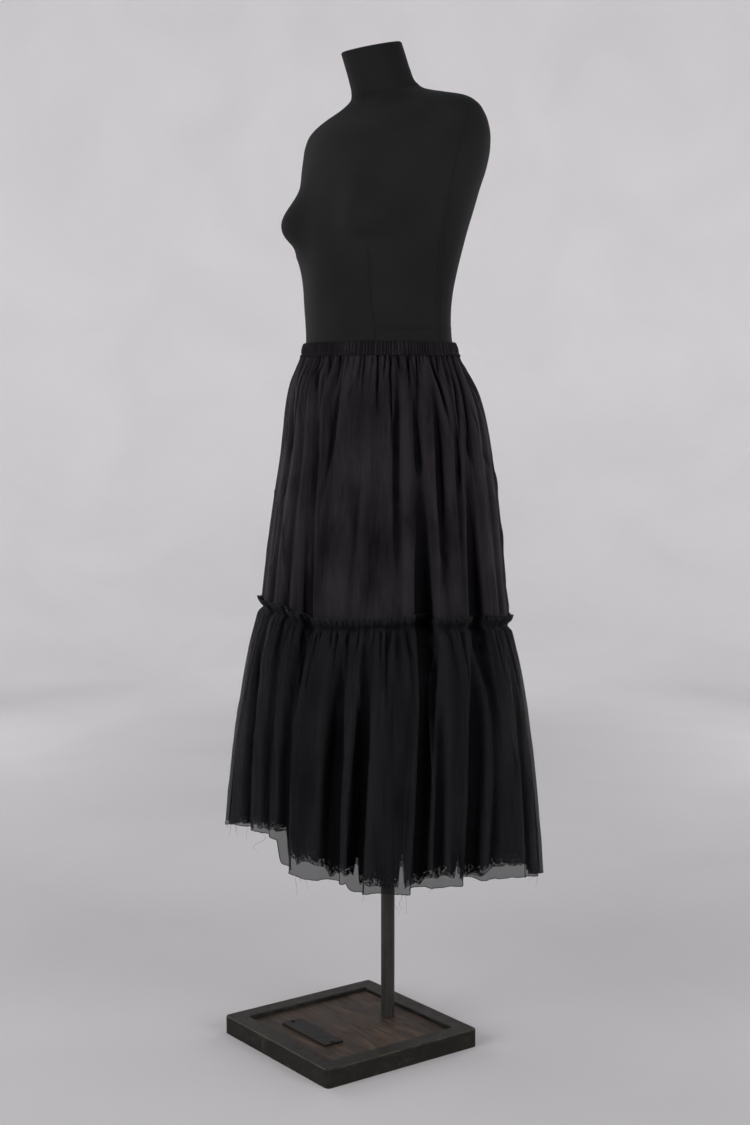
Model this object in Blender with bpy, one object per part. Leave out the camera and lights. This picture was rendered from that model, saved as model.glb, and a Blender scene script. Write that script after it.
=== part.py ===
"""A tiered gathered skirt on a limbless dress form, on a pole stand.

Metres, +Z up, the front faces -Y, and the form's own left is +X. The origin is under the pole's axis,
at the underside of the base. An azimuth is in degrees from the front, turning towards +X.
"""
import math
import random

import bmesh
import bpy
import numpy as np

GAP = 0.0003

# Stand
BASE_SIDE = 0.300
BASE_HEIGHT = 0.030
BASE_CENTRE_Y = -0.079
FRAME_BORDER = 0.030
FRAME_CORNER_RADIUS = 0.007
FRAME_EDGE_ROUND = 0.0015
BOARD_HEIGHT = 0.024
BOARD_SOCKET_FLOOR = 0.008
POLE_RADIUS = 0.0115
POLE_SIDES = 24
PLATE_SIZE = (0.126, 0.037, 0.003)
PLATE_CENTRE = (-0.007, -0.149)
PLATE_CORNER_RADIUS = 0.003
SCREW_SPACING = 0.115
SCREW_HEAD_RADIUS = 0.0036
SCREW_HEAD_HEIGHT = 0.0018
SCREW_SIDES = 12

# Dress form
FORM_SIDES = 40
FORM_SOCKET_DEPTH = 0.040
BUST_AZIMUTH = 39.0
BUST_HEIGHT = 1.336
BUST_PROJECTION = 0.034
BUST_SPREAD = 18.0
BUST_RISE = 0.046
BUST_FALL = 0.046
BRIDGE_PROJECTION = 0.010
BRIDGE_SPREAD = 24.0

# Skirt
BAND_TOP = 1.1470
BAND_BOTTOM = 1.1250
BAND_WALL = 0.0022
BAND_STITCH_RISE = 0.0055
CLOTH_WALL = 0.0012
BAND_GATHER = 0.0008
UPPER_GATHERS = 64
UPPER_GATHER_DEPTH = 0.0022
UPPER_OVERLAP = 0.008
LOWER_GATHERS = 72
HEADING_HEIGHT = 0.011
SEAM_CLEARANCE = 0.0011
SEAM_VALLEY_SHARE = 0.70
FLARE_LOST_BEHIND = 0.12
INNER_SHORTER_BY = 0.025
INNER_ROOM = 0.0028
INNER_NEIGHBOUR_AZIMUTH = 2.2

# How the gathers and folds behave
FULL_CROWDING_DEPTH = 0.020
CROWDING_GAIN = 0.9
CROWDING_SPREAD = 5.0
GATHER_PLACE_JITTER = 0.24
GATHER_LEAST_SIZE = 0.55
GATHER_AT_BAND = 0.45
GATHERS_OPEN_BY = 0.06
GATHERS_GONE_BY = 0.55
PANEL_SEEDS = {"upper": {"front": 11, "back": 12}, "lower": {"front": 31, "back": 32}}
WAVE_SEED_STEP = 20
DRIFT_SPREAD = 9.0
DRIFT_HOLD = 0.25
SEAM_VALLEYS_GONE_BY = 0.16
OWN_VALLEYS_FULL_BY = 0.05

# One row for each level of the form: half width in X, centre in Y, reach to the front and to the back,
# squareness (2 is an ellipse) and how much the ring rises towards the back.
FORM_SECTIONS = (
    ("height", "half_width", "centre_y", "front", "back", "squareness", "rise"),
    (0.890, 0.146, 0.000, 0.120, 0.108, 2.20, 0.00),
    (0.907, 0.160, 0.000, 0.135, 0.121, 2.15, 0.00),
    (0.945, 0.169, 0.000, 0.142, 0.128, 2.05, 0.00),
    (0.990, 0.170, 0.000, 0.145, 0.129, 2.00, 0.00),
    (1.035, 0.162, 0.000, 0.143, 0.119, 2.00, 0.00),
    (1.078, 0.149, 0.000, 0.138, 0.105, 2.00, 0.00),
    (1.112, 0.1385, 0.000, 0.1365, 0.0915, 2.00, 0.00),
    (1.147, 0.1330, 0.000, 0.1335, 0.0800, 2.00, 0.00),
    (1.186, 0.1325, 0.000, 0.1335, 0.0750, 2.00, 0.00),
    (1.222, 0.135, 0.000, 0.1340, 0.0780, 2.00, 0.00),
    (1.258, 0.141, 0.000, 0.1330, 0.0860, 2.00, 0.00),
    (1.292, 0.148, 0.000, 0.1310, 0.0950, 2.02, 0.00),
    (1.326, 0.155, 0.000, 0.1290, 0.1050, 2.05, 0.00),
    (1.358, 0.162, 0.000, 0.1260, 0.1150, 2.10, 0.00),
    (1.390, 0.169, 0.000, 0.1200, 0.1240, 2.15, 0.00),
    (1.420, 0.178, 0.000, 0.1100, 0.1300, 2.25, 0.00),
    (1.450, 0.187, 0.003, 0.0990, 0.1240, 2.35, 0.00),
    (1.476, 0.193, 0.006, 0.0880, 0.1080, 2.45, 0.00),
    (1.497, 0.192, 0.008, 0.0750, 0.0880, 2.50, 0.02),
    (1.512, 0.183, 0.010, 0.0630, 0.0710, 2.45, 0.05),
    (1.524, 0.160, 0.010, 0.0550, 0.0600, 2.30, 0.09),
    (1.534, 0.117, 0.006, 0.0510, 0.0540, 2.10, 0.12),
    (1.543, 0.079, 0.000, 0.0500, 0.0460, 2.00, 0.15),
    (1.555, 0.059, -0.007, 0.0510, 0.0430, 2.00, 0.19),
    (1.572, 0.053, -0.014, 0.0505, 0.0420, 2.00, 0.25),
    (1.595, 0.0505, -0.024, 0.0500, 0.0440, 2.00, 0.24),
    (1.615, 0.050, -0.033, 0.0490, 0.0450, 2.00, 0.23),
)

# Outline of the band and the upper tier over the outermost gathers
UPPER_SECTIONS = (
    ("height", "half_width", "front", "back"),
    (1.147, 0.1370, 0.1375, 0.0855),
    (1.125, 0.1430, 0.1425, 0.0955),
    (1.105, 0.1520, 0.1500, 0.1085),
    (1.089, 0.1590, 0.1565, 0.1195),
    (1.073, 0.1650, 0.1600, 0.1290),
    (1.041, 0.1745, 0.1635, 0.1405),
    (1.008, 0.1815, 0.1650, 0.1480),
    (0.975, 0.1870, 0.1680, 0.1540),
    (0.910, 0.1950, 0.1790, 0.1650),
    (0.844, 0.2025, 0.1895, 0.1720),
    (0.778, 0.2090, 0.1990, 0.1780),
    (0.700, 0.2160, 0.2085, 0.1860),
)

# How far the lower tier stands out from the gathered seam as it falls
LOWER_FLARE = (
    ("drop", "reach"),
    (0.000, 0.0000),
    (0.012, 0.0035),
    (0.030, 0.0085),
    (0.060, 0.0165),
    (0.100, 0.0250),
    (0.160, 0.0350),
    (0.230, 0.0455),
    (0.300, 0.0535),
    (0.370, 0.0600),
    (0.440, 0.0650),
)

# Height of the gathered seam, all round
SEAM_LINE = (
    ("azimuth", "height"),
    (-36.0, 0.724),
    (0.0, 0.723),
    (9.0, 0.714),
    (17.0, 0.709),
    (36.0, 0.710),
    (50.0, 0.713),
    (66.0, 0.717),
    (76.0, 0.712),
    (95.0, 0.710),
    (124.0, 0.701),
    (143.0, 0.690),
    (180.0, 0.684),
    (230.0, 0.689),
    (280.0, 0.704),
    (324.0, 0.724),
)

# Height of the net's hem, all round; its large folds hang lower
HEM_LINE = (
    ("azimuth", "height"),
    (-36.0, 0.358),
    (-3.0, 0.381),
    (12.0, 0.375),
    (17.5, 0.339),
    (32.0, 0.334),
    (40.5, 0.338),
    (44.0, 0.317),
    (61.0, 0.317),
    (65.0, 0.325),
    (76.0, 0.321),
    (82.0, 0.332),
    (103.0, 0.314),
    (126.0, 0.294),
    (144.0, 0.271),
    (168.0, 0.263),
    (186.0, 0.254),
    (207.0, 0.262),
    (232.0, 0.268),
    (262.0, 0.296),
    (290.0, 0.321),
    (324.0, 0.358),
)

# Valleys between the folds of the upper tier, from the band down to the seam
UPPER_FOLDS = (
    ("top", "bottom", "half_width", "depth_top", "depth_middle", "depth_bottom"),
    (-27.0, -30.0, 0.012, 0.000, 0.003, 0.005),
    (-17.0, -13.0, 0.010, 0.002, 0.005, 0.005),
    (-3.0, 1.0, 0.008, 0.001, 0.003, 0.006),
    (6.5, 15.8, 0.009, 0.003, 0.009, 0.014),
    (21.0, 23.0, 0.008, 0.003, 0.003, 0.000),
    (37.0, 36.0, 0.009, 0.001, 0.004, 0.002),
    (47.0, 43.5, 0.008, 0.002, 0.003, 0.002),
    (57.4, 57.0, 0.007, 0.003, 0.006, 0.001),
    (67.5, 68.8, 0.012, 0.003, 0.009, 0.020),
    (79.0, 78.5, 0.008, 0.003, 0.009, 0.002),
    (89.0, 87.0, 0.007, 0.002, 0.006, 0.001),
    (94.5, 94.0, 0.012, 0.002, 0.008, 0.020),
    (109.0, 112.0, 0.009, 0.003, 0.004, 0.003),
    (122.0, 127.0, 0.010, 0.002, 0.006, 0.008),
    (139.0, 141.0, 0.011, 0.003, 0.008, 0.015),
    (154.0, 153.0, 0.009, 0.002, 0.006, 0.004),
    (166.0, 170.0, 0.012, 0.003, 0.009, 0.018),
    (183.0, 182.0, 0.008, 0.002, 0.005, 0.002),
    (196.0, 198.0, 0.011, 0.003, 0.008, 0.016),
    (211.0, 209.0, 0.009, 0.002, 0.006, 0.003),
    (224.0, 226.0, 0.012, 0.003, 0.008, 0.018),
    (240.0, 239.0, 0.008, 0.003, 0.006, 0.002),
    (252.0, 255.0, 0.011, 0.002, 0.007, 0.013),
    (268.0, 267.0, 0.009, 0.003, 0.006, 0.003),
    (281.0, 283.0, 0.012, 0.003, 0.009, 0.017),
    (297.0, 298.0, 0.009, 0.002, 0.006, 0.004),
    (311.0, 313.0, 0.011, 0.003, 0.006, 0.011),
)

# Valleys between the long round folds of the lower tier, from the seam down to the hem
LOWER_FOLDS = (
    ("top", "bottom", "half_width", "depth_top", "depth_middle", "depth_bottom"),
    (-31.0, -24.0, 0.011, 0.002, 0.008, 0.013),
    (-14.0, -5.0, 0.011, 0.002, 0.009, 0.014),
    (0.5, 7.0, 0.008, 0.002, 0.006, 0.008),
    (11.0, 15.6, 0.010, 0.003, 0.013, 0.018),
    (33.5, 32.8, 0.015, 0.004, 0.020, 0.029),
    (45.0, 41.8, 0.010, 0.004, 0.022, 0.026),
    (69.0, 63.2, 0.010, 0.004, 0.019, 0.024),
    (73.5, 69.3, 0.007, 0.001, 0.010, 0.013),
    (92.0, 81.5, 0.012, 0.004, 0.021, 0.027),
    (99.0, 89.0, 0.009, 0.002, 0.005, 0.007),
    (112.0, 109.0, 0.010, 0.002, 0.006, 0.009),
    (127.0, 122.0, 0.013, 0.004, 0.017, 0.022),
    (140.0, 138.0, 0.011, 0.003, 0.013, 0.020),
    (153.0, 150.0, 0.011, 0.002, 0.011, 0.016),
    (170.0, 168.0, 0.014, 0.004, 0.021, 0.029),
    (182.0, 181.0, 0.009, 0.002, 0.011, 0.014),
    (198.0, 199.0, 0.013, 0.004, 0.020, 0.026),
    (210.0, 212.0, 0.010, 0.002, 0.010, 0.015),
    (226.0, 229.0, 0.014, 0.004, 0.020, 0.028),
    (240.0, 241.0, 0.010, 0.002, 0.010, 0.014),
    (255.0, 257.0, 0.012, 0.003, 0.018, 0.024),
    (269.0, 270.0, 0.010, 0.002, 0.010, 0.015),
    (283.0, 285.0, 0.013, 0.004, 0.019, 0.026),
    (298.0, 300.0, 0.010, 0.002, 0.010, 0.015),
    (313.0, 316.0, 0.012, 0.003, 0.015, 0.020),
)


# The band's edge, seam and ruffle levels: height, strength of the gathers, and lift of the outer face
BAND_LEVELS = (
    ("height", "ripple", "lift"),
    (BAND_TOP, 1.0, -0.0006),
    (BAND_TOP - 0.004, 0.8, 0.0002),
    (BAND_BOTTOM + BAND_STITCH_RISE, 0.7, -0.0006),
    (BAND_BOTTOM, 1.0, 0.0000),
)

# The raw heading above the gathered seam: drop below the seam, lift off the cloth, gather depth, ruffled edge
HEADING_LEVELS = (
    ("drop", "lift", "ripple", "ruffle"),
    (-HEADING_HEIGHT, 0.0016, 0.0020, 0.0012),
    (-HEADING_HEIGHT * 0.45, 0.0010, 0.0013, 0.0006),
    (0.0, 0.0006, 0.0006, 0.0000),
)

# Levels of each tier as shares of its fall, with the depth that the net's gathers still have there
UPPER_LEVELS = (0.0, 0.03, 0.09, 0.18, 0.31, 0.47, 0.65, 0.84, 1.0)
NET_LEVELS = (
    ("part", "ripple"),
    (0.03, 0.0020),
    (0.09, 0.0022),
    (0.20, 0.0014),
    (0.38, 0.0007),
    (0.62, 0.0003),
    (1.00, 0.0000),
)
INNER_LEVELS = (0.0, 0.18, 0.55, 1.0)


def clear_scene():
    for item in list(bpy.data.objects):
        bpy.data.objects.remove(item, do_unlink=True)


def make_material(name, colour, roughness, metallic=0.0):
    material = bpy.data.materials.new(name)
    material.use_nodes = True
    shader = material.node_tree.nodes["Principled BSDF"]
    shader.inputs["Base Color"].default_value = (*colour, 1.0)
    shader.inputs["Roughness"].default_value = roughness
    shader.inputs["Metallic"].default_value = metallic
    material.diffuse_color = (*colour, 1.0)
    return material


def add_mesh(name, points, faces, material, sharp_angle=50.0):
    """Make an object from points and faces, with its faces turned out."""
    mesh = bpy.data.meshes.new(name)
    mesh.from_pydata([tuple(point) for point in points], [], faces)
    work = bmesh.new()
    work.from_mesh(mesh)
    bmesh.ops.recalc_face_normals(work, faces=work.faces)
    work.to_mesh(mesh)
    work.free()
    mesh.shade_smooth()
    mesh.set_sharp_from_angle(angle=math.radians(sharp_angle))
    mesh.materials.append(material)
    item = bpy.data.objects.new(name, mesh)
    bpy.context.collection.objects.link(item)
    return item


def smooth_step(value):
    value = np.clip(value, 0.0, 1.0)
    return value * value * (3.0 - 2.0 * value)


def smooth_column(table, column, value):
    """Read one named column of a table at a value of its first column, on a smooth curve."""
    rows = sorted(table[1:])
    keys = np.array([row[0] for row in rows])
    data = np.array([row[table[0].index(column)] for row in rows])
    slopes = np.gradient(data, keys)
    value = np.clip(value, keys[0], keys[-1])
    index = np.clip(np.searchsorted(keys, value, side="right") - 1, 0, len(keys) - 2)
    span = keys[index + 1] - keys[index]
    part = (value - keys[index]) / span
    rise = 3.0 * part**2 - 2.0 * part**3
    bend = slopes[index] * (part - 2.0 * part**2 + part**3) + slopes[index + 1] * (part**3 - part**2)
    return data[index] * (1.0 - rise) + data[index + 1] * rise + bend * span


def round_line(table, azimuth):
    """Height of a line that runs all round, eased from one row of its table to the next."""
    keys = [row[0] for row in table[1:]]
    data = [row[1] for row in table[1:]]
    azimuth = (azimuth - keys[0]) % 360.0 + keys[0]
    index = int(np.clip(np.searchsorted(keys, azimuth, side="right") - 1, 0, len(keys) - 2))
    part = smooth_step((azimuth - keys[index]) / (keys[index + 1] - keys[index]))
    return data[index] + (data[index + 1] - data[index]) * part


def azimuth_between(first, second):
    """Signed degrees from the second azimuth to the first."""
    return (first - second + 180.0) % 360.0 - 180.0


def place(azimuth, radius, height):
    turn = math.radians(azimuth)
    return np.array((radius * math.sin(turn), -radius * math.cos(turn), height))


def oval_radius(azimuth, half_width, front, back, squareness=2.0):
    """Distance from the axis to a ring whose front and back reach differ."""
    turn = math.radians(azimuth)
    reach = front if math.cos(turn) > 0 else back
    across = abs(math.sin(turn) / half_width) ** squareness
    along = abs(math.cos(turn) / reach) ** squareness
    return (across + along) ** (-1.0 / squareness)


def bridge_rows(upper, lower):
    """Quads between two closed rings of point numbers, the upper one first."""
    count = len(upper)
    return [
        (upper[i], lower[i], lower[(i + 1) % count], upper[(i + 1) % count])
        for i in range(count)
    ]


def add_stack(name, rings, material, sharp_angle=50.0, closed_on_itself=False):
    """A solid through closed rings of points, either capped or joined back to its first ring."""
    points = [point for ring in rings for point in ring]
    count = len(rings[0])
    numbers = [list(range(k * count, (k + 1) * count)) for k in range(len(rings))]
    faces = []
    for upper, lower in zip(numbers, numbers[1:]):
        faces += bridge_rows(upper, lower)
    if closed_on_itself:
        faces += bridge_rows(numbers[-1], numbers[0])
    else:
        faces.append(tuple(numbers[0]))
        faces.append(tuple(reversed(numbers[-1])))
    return add_mesh(name, points, faces, material, sharp_angle)


def circle_ring(radius, height, sides, centre=(0.0, 0.0)):
    ring = []
    for i in range(sides):
        turn = 2.0 * math.pi * i / sides
        ring.append((centre[0] + radius * math.cos(turn), centre[1] + radius * math.sin(turn), height))
    return ring


def rounded_ring(size_x, size_y, corner, height, centre, steps=3):
    """A rectangle's outline with round corners."""
    ring = []
    corners = ((1, 1, 0.0), (-1, 1, 90.0), (-1, -1, 180.0), (1, -1, 270.0))
    for side_x, side_y, start in corners:
        middle_x = centre[0] + side_x * (size_x / 2 - corner)
        middle_y = centre[1] + side_y * (size_y / 2 - corner)
        for step in range(steps + 1):
            turn = math.radians(start + 90.0 * step / steps)
            ring.append((middle_x + corner * math.cos(turn), middle_y + corner * math.sin(turn), height))
    return ring


# Stand

def build_base_frame(material):
    centre = (0.0, BASE_CENTRE_Y)
    opening = BASE_SIDE - 2.0 * FRAME_BORDER
    edge = FRAME_EDGE_ROUND
    shapes = (
        (BASE_SIDE, FRAME_CORNER_RADIUS, 0.0),
        (BASE_SIDE, FRAME_CORNER_RADIUS, BASE_HEIGHT - edge),
        (BASE_SIDE - 2.0 * edge, FRAME_CORNER_RADIUS - edge, BASE_HEIGHT),
        (opening + 2.0 * edge, 2.0 * edge, BASE_HEIGHT),
        (opening, edge, BASE_HEIGHT - edge),
        (opening, edge, 0.0),
    )
    rings = [rounded_ring(side, side, corner, height, centre) for side, corner, height in shapes]
    return add_stack("base_frame", rings, material, sharp_angle=60.0, closed_on_itself=True)


def build_base_board(material):
    """The board, with a blind socket for the pole."""
    side = BASE_SIDE - 2.0 * FRAME_BORDER - 2.0 * GAP
    centre = (0.0, BASE_CENTRE_Y)
    edge = FRAME_EDGE_ROUND
    rings = [
        rounded_ring(side - 2.0 * edge, side - 2.0 * edge, edge, BOARD_HEIGHT, centre),
        rounded_ring(side, side, 2.0 * edge, BOARD_HEIGHT - edge, centre),
        rounded_ring(side, side, 2.0 * edge, 0.0, centre),
    ]
    board = add_stack("base_board", rings, material, sharp_angle=30.0)
    socket_radius = (POLE_RADIUS + GAP) / math.cos(math.pi / POLE_SIDES)
    cutter_rings = [
        circle_ring(socket_radius, BASE_HEIGHT, POLE_SIDES),
        circle_ring(socket_radius, BOARD_SOCKET_FLOOR, POLE_SIDES),
    ]
    cutter = add_stack("board_socket_cutter", cutter_rings, material)
    cutter.hide_render = True
    cutter.display_type = "WIRE"
    cut = board.modifiers.new("socket", "BOOLEAN")
    cut.operation = "DIFFERENCE"
    cut.solver = "EXACT"
    cut.object = cutter
    return board


def build_pole(material):
    top = form_bottom() + FORM_SOCKET_DEPTH - GAP
    bottom = BOARD_SOCKET_FLOOR + GAP
    rings = [
        circle_ring(POLE_RADIUS, top, POLE_SIDES),
        circle_ring(POLE_RADIUS, bottom, POLE_SIDES),
    ]
    return add_stack("stand_pole", rings, material, sharp_angle=40.0)


def build_plate(material):
    bottom = BOARD_HEIGHT + GAP
    long_side, short_side, thickness = PLATE_SIZE
    edge = FRAME_EDGE_ROUND / 3.0
    rings = [
        rounded_ring(long_side - 2 * edge, short_side - 2 * edge, PLATE_CORNER_RADIUS - edge,
                     bottom + thickness, PLATE_CENTRE),
        rounded_ring(long_side, short_side, PLATE_CORNER_RADIUS, bottom + thickness - edge, PLATE_CENTRE),
        rounded_ring(long_side, short_side, PLATE_CORNER_RADIUS, bottom, PLATE_CENTRE),
    ]
    return add_stack("base_plate", rings, material, sharp_angle=30.0)


def build_plate_screws(material):
    seat = BOARD_HEIGHT + PLATE_SIZE[2] + 2.0 * GAP
    for name, side in (("plate_screw_left", -1), ("plate_screw_right", 1)):
        centre = (PLATE_CENTRE[0] + side * SCREW_SPACING / 2.0, PLATE_CENTRE[1])
        profile = ((0.45, 1.0), (0.88, 0.75), (1.0, 0.3), (1.0, 0.0))
        rings = [
            circle_ring(SCREW_HEAD_RADIUS * out, seat + SCREW_HEAD_HEIGHT * up, SCREW_SIDES, centre)
            for out, up in profile
        ]
        add_stack(name, rings, material, sharp_angle=60.0)


# Dress form

def form_bottom():
    return FORM_SECTIONS[1][0]


def bust_bulge(azimuth, height):
    """Outward swell of the bust and of the cloth that bridges it."""
    spread = BUST_RISE if height > BUST_HEIGHT else BUST_FALL
    level = math.exp(-((height - BUST_HEIGHT) / spread) ** 2)
    swell = 0.0
    for side in (-1, 1):
        swell += math.exp(-(azimuth_between(azimuth, side * BUST_AZIMUTH) / BUST_SPREAD) ** 2)
    bridge = math.exp(-(azimuth_between(azimuth, 0.0) / BRIDGE_SPREAD) ** 2)
    return level * (BUST_PROJECTION * swell + BRIDGE_PROJECTION * bridge)


def form_levels():
    """The table's rows, with one more between each two rows of the bust, where the form turns fastest."""
    names = FORM_SECTIONS[0][1:]
    levels = list(FORM_SECTIONS[1:])
    for lower, upper in zip(FORM_SECTIONS[1:], FORM_SECTIONS[2:]):
        if abs(lower[0] - BUST_HEIGHT) < 2.0 * BUST_FALL:
            middle = (lower[0] + upper[0]) / 2.0
            levels.append((middle, *(float(smooth_column(FORM_SECTIONS, name, middle)) for name in names)))
    return sorted(levels)


def form_ring(section):
    height, half_width, centre_y, front, back, squareness, rise = section
    ring = []
    for i in range(FORM_SIDES):
        azimuth = 360.0 * i / FORM_SIDES
        radius = oval_radius(azimuth, half_width, front, back, squareness)
        point = place(azimuth, radius + bust_bulge(azimuth, height), height)
        point[2] += rise * point[1]
        point[1] += centre_y
        ring.append(point)
    return ring


def build_form(material):
    """Neck, shoulders and body in one solid, flat underneath, with a socket for the pole."""
    rings = [form_ring(section) for section in reversed(form_levels())]
    socket_radius = (POLE_RADIUS + GAP) / math.cos(math.pi / FORM_SIDES)
    for height in (form_bottom(), form_bottom() + FORM_SOCKET_DEPTH):
        rings.append([place(360.0 * i / FORM_SIDES, socket_radius, height) for i in range(FORM_SIDES)])
    return add_stack("form_torso", rings, material, sharp_angle=60.0)


# Cloth

def column_azimuths(start, end, gathers, folds, seed):
    """Ridge and valley azimuths of a panel's gathers, closer together where its deep folds begin."""
    samples = np.linspace(start, end, 1441)
    crowding = np.ones_like(samples)
    for row in folds[1:]:
        strength = CROWDING_GAIN * max(row[4], row[5]) / FULL_CROWDING_DEPTH
        crowding += strength * np.exp(-(azimuth_between(samples, row[0]) / CROWDING_SPREAD) ** 2)
    total = np.concatenate(([0.0], np.cumsum((crowding[1:] + crowding[:-1]) / 2.0)))
    chance = random.Random(seed)
    places = np.arange(2 * gathers + 1, dtype=float)
    for i in range(1, 2 * gathers):
        places[i] += chance.uniform(-GATHER_PLACE_JITTER, GATHER_PLACE_JITTER)
    return np.interp(places / (2 * gathers), total / total[-1], samples)


def gather_waves(gathers, seed):
    """Height of each column of a gathered edge, from -1 in a valley to 1 on a ridge, unevenly."""
    chance = random.Random(seed)
    waves = []
    for i in range(2 * gathers + 1):
        size = chance.uniform(GATHER_LEAST_SIZE, 1.0)
        waves.append(size if i % 2 else -size)
    waves[0] = waves[-1] = 0.0
    return waves


def fold_depth(folds, azimuth, part, radius):
    """How far all the valleys cut in at a place, where part runs from 0 at the top to 1 at the bottom."""
    depth = 0.0
    for top, bottom, half_width, depth_top, depth_middle, depth_bottom in folds[1:]:
        centre = top + (bottom - top) * part
        offset = math.radians(azimuth_between(azimuth, centre)) * radius
        if part < 0.5:
            cut = depth_top + (depth_middle - depth_top) * smooth_step(2.0 * part)
        else:
            cut = depth_middle + (depth_bottom - depth_middle) * smooth_step(2.0 * part - 1.0)
        depth += cut * math.exp(-((offset / half_width) ** 2))
    return depth


def fold_drift(folds, azimuth):
    """Degrees by which the folds near an azimuth lean over on their way down."""
    weights = DRIFT_HOLD
    drift = 0.0
    for row in folds[1:]:
        weight = math.exp(-(azimuth_between(azimuth, row[0]) / DRIFT_SPREAD) ** 2)
        weights += weight
        drift += weight * (row[1] - row[0])
    return drift / weights


def upper_outline(azimuth, height):
    half_width, front, back = (
        float(smooth_column(UPPER_SECTIONS, column, height)) for column in UPPER_SECTIONS[0][1:]
    )
    return oval_radius(azimuth, half_width, front, back)


def upper_radius(azimuth, height, part):
    outline = upper_outline(azimuth, height)
    return outline - fold_depth(UPPER_FOLDS, azimuth, part, outline)


def lower_radius(azimuth, drop, length):
    """The net's outer face: it leaves the gathered seam, flares, and sinks into its own valleys."""
    seam = round_line(SEAM_LINE, azimuth)
    outline = upper_outline(azimuth, seam)
    held = 1.0 - smooth_step(drop / SEAM_VALLEYS_GONE_BY)
    seam_valleys = fold_depth(UPPER_FOLDS, azimuth, 1.0, outline) * SEAM_VALLEY_SHARE * held
    flare = float(smooth_column(LOWER_FLARE, "reach", max(drop, 0.0)))
    flare *= 1.0 - FLARE_LOST_BEHIND * (1.0 - math.cos(math.radians(azimuth))) / 2.0
    part = max(drop, 0.0) / length
    own_valleys = fold_depth(LOWER_FOLDS, azimuth, part, outline + flare)
    own_valleys *= smooth_step(drop / OWN_VALLEYS_FULL_BY)
    return outline + SEAM_CLEARANCE + CLOTH_WALL + flare - seam_valleys - own_valleys


def wall_faces(row_count, column_count, closed):
    """Faces of a wall whose outer points come first and its inner points after them, row by row."""
    layer = row_count * column_count
    steps = column_count if closed else column_count - 1

    def number(row, column, inner):
        return inner * layer + row * column_count + column % column_count

    faces = []
    for column in range(steps):
        after = column + 1
        for row in range(row_count - 1):
            for inner in (0, 1):
                faces.append((number(row, column, inner), number(row + 1, column, inner),
                              number(row + 1, after, inner), number(row, after, inner)))
        for row in (0, row_count - 1):
            faces.append((number(row, column, 0), number(row, after, 0),
                          number(row, after, 1), number(row, column, 1)))
    if not closed:
        for column in (0, column_count - 1):
            for row in range(row_count - 1):
                faces.append((number(row, column, 0), number(row, column, 1),
                              number(row + 1, column, 1), number(row + 1, column, 0)))
    return faces


def inner_row(row, wall, closed):
    """The same row of points moved in by the wall's thickness, square to the cloth."""
    count = len(row)
    moved = []
    for i, point in enumerate(row):
        if closed or 0 < i < count - 1:
            along = row[(i + 1) % count] - row[i - 1]
            inward = np.array((-along[1], along[0], 0.0))
        else:
            inward = np.array((-point[0], -point[1], 0.0))
        moved.append(point + inward / np.linalg.norm(inward) * wall)
    return moved


def add_wall(name, rows, wall, material, closed=False):
    outer = [point for row in rows for point in row]
    inner = [point for row in rows for point in inner_row(row, wall, closed)]
    faces = wall_faces(len(rows), len(rows[0]), closed)
    return add_mesh(name, outer + inner, faces, material, sharp_angle=75.0)


def panel_ends(side):
    """First and last azimuth of a front or back panel, which stop just short of the side seams."""
    spare = math.degrees(GAP / 2.0 / UPPER_SECTIONS[1][1]) * 1.1
    if side == "front":
        return -90.0 + spare, 90.0 - spare
    return 90.0 + spare, 270.0 - spare


def upper_columns(side):
    start, end = panel_ends(side)
    gathers = UPPER_GATHERS // 2
    seed = PANEL_SEEDS["upper"][side]
    azimuths = column_azimuths(start, end, gathers, UPPER_FOLDS, seed)
    return azimuths, gather_waves(gathers, seed + WAVE_SEED_STEP)


def build_waistband(material):
    """The elastic casing: one ring, ruffled at both edges and drawn in at its line of stitches."""
    azimuths, waves = [], []
    for side in ("front", "back"):
        panel_azimuths, panel_waves = upper_columns(side)
        azimuths += list(panel_azimuths[:-1])
        waves += list(panel_waves[:-1])
    rows = []
    for height, ripple, lift in BAND_LEVELS[1:]:
        rows.append([
            place(azimuth, upper_outline(azimuth, height) + lift + BAND_GATHER * ripple * wave, height)
            for azimuth, wave in zip(azimuths, waves)
        ])
    return add_wall("waistband", rows, BAND_WALL, material, closed=True)


def build_upper_tier(side, material):
    """Gathers that start sharp under the band and run out into a few broad folds at the seam."""
    azimuths, waves = upper_columns(side)
    top = BAND_BOTTOM - GAP
    rows = []
    for part in UPPER_LEVELS:
        row = []
        for azimuth, wave in zip(azimuths, waves):
            leaning = azimuth + fold_drift(UPPER_FOLDS, azimuth) * part
            bottom = round_line(SEAM_LINE, leaning) - UPPER_OVERLAP
            height = top + (bottom - top) * part
            ripple = UPPER_GATHER_DEPTH * wave * gather_fade(part)
            row.append(place(leaning, upper_radius(leaning, height, part) + ripple, height))
        rows.append(row)
    return add_wall(f"upper_tier_{side}", rows, CLOTH_WALL, material)


def gather_fade(part):
    """Gathers open a little just under the band and are gone about half way down."""
    opening = GATHER_AT_BAND + (1.0 - GATHER_AT_BAND) * smooth_step(part / GATHERS_OPEN_BY)
    return opening * (1.0 - smooth_step(part / GATHERS_GONE_BY))


def lower_columns(side):
    start, end = panel_ends(side)
    gathers = LOWER_GATHERS // 2
    seed = PANEL_SEEDS["lower"][side]
    azimuths = column_azimuths(start, end, gathers, LOWER_FOLDS, seed)
    return azimuths, gather_waves(gathers, seed + WAVE_SEED_STEP)


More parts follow.
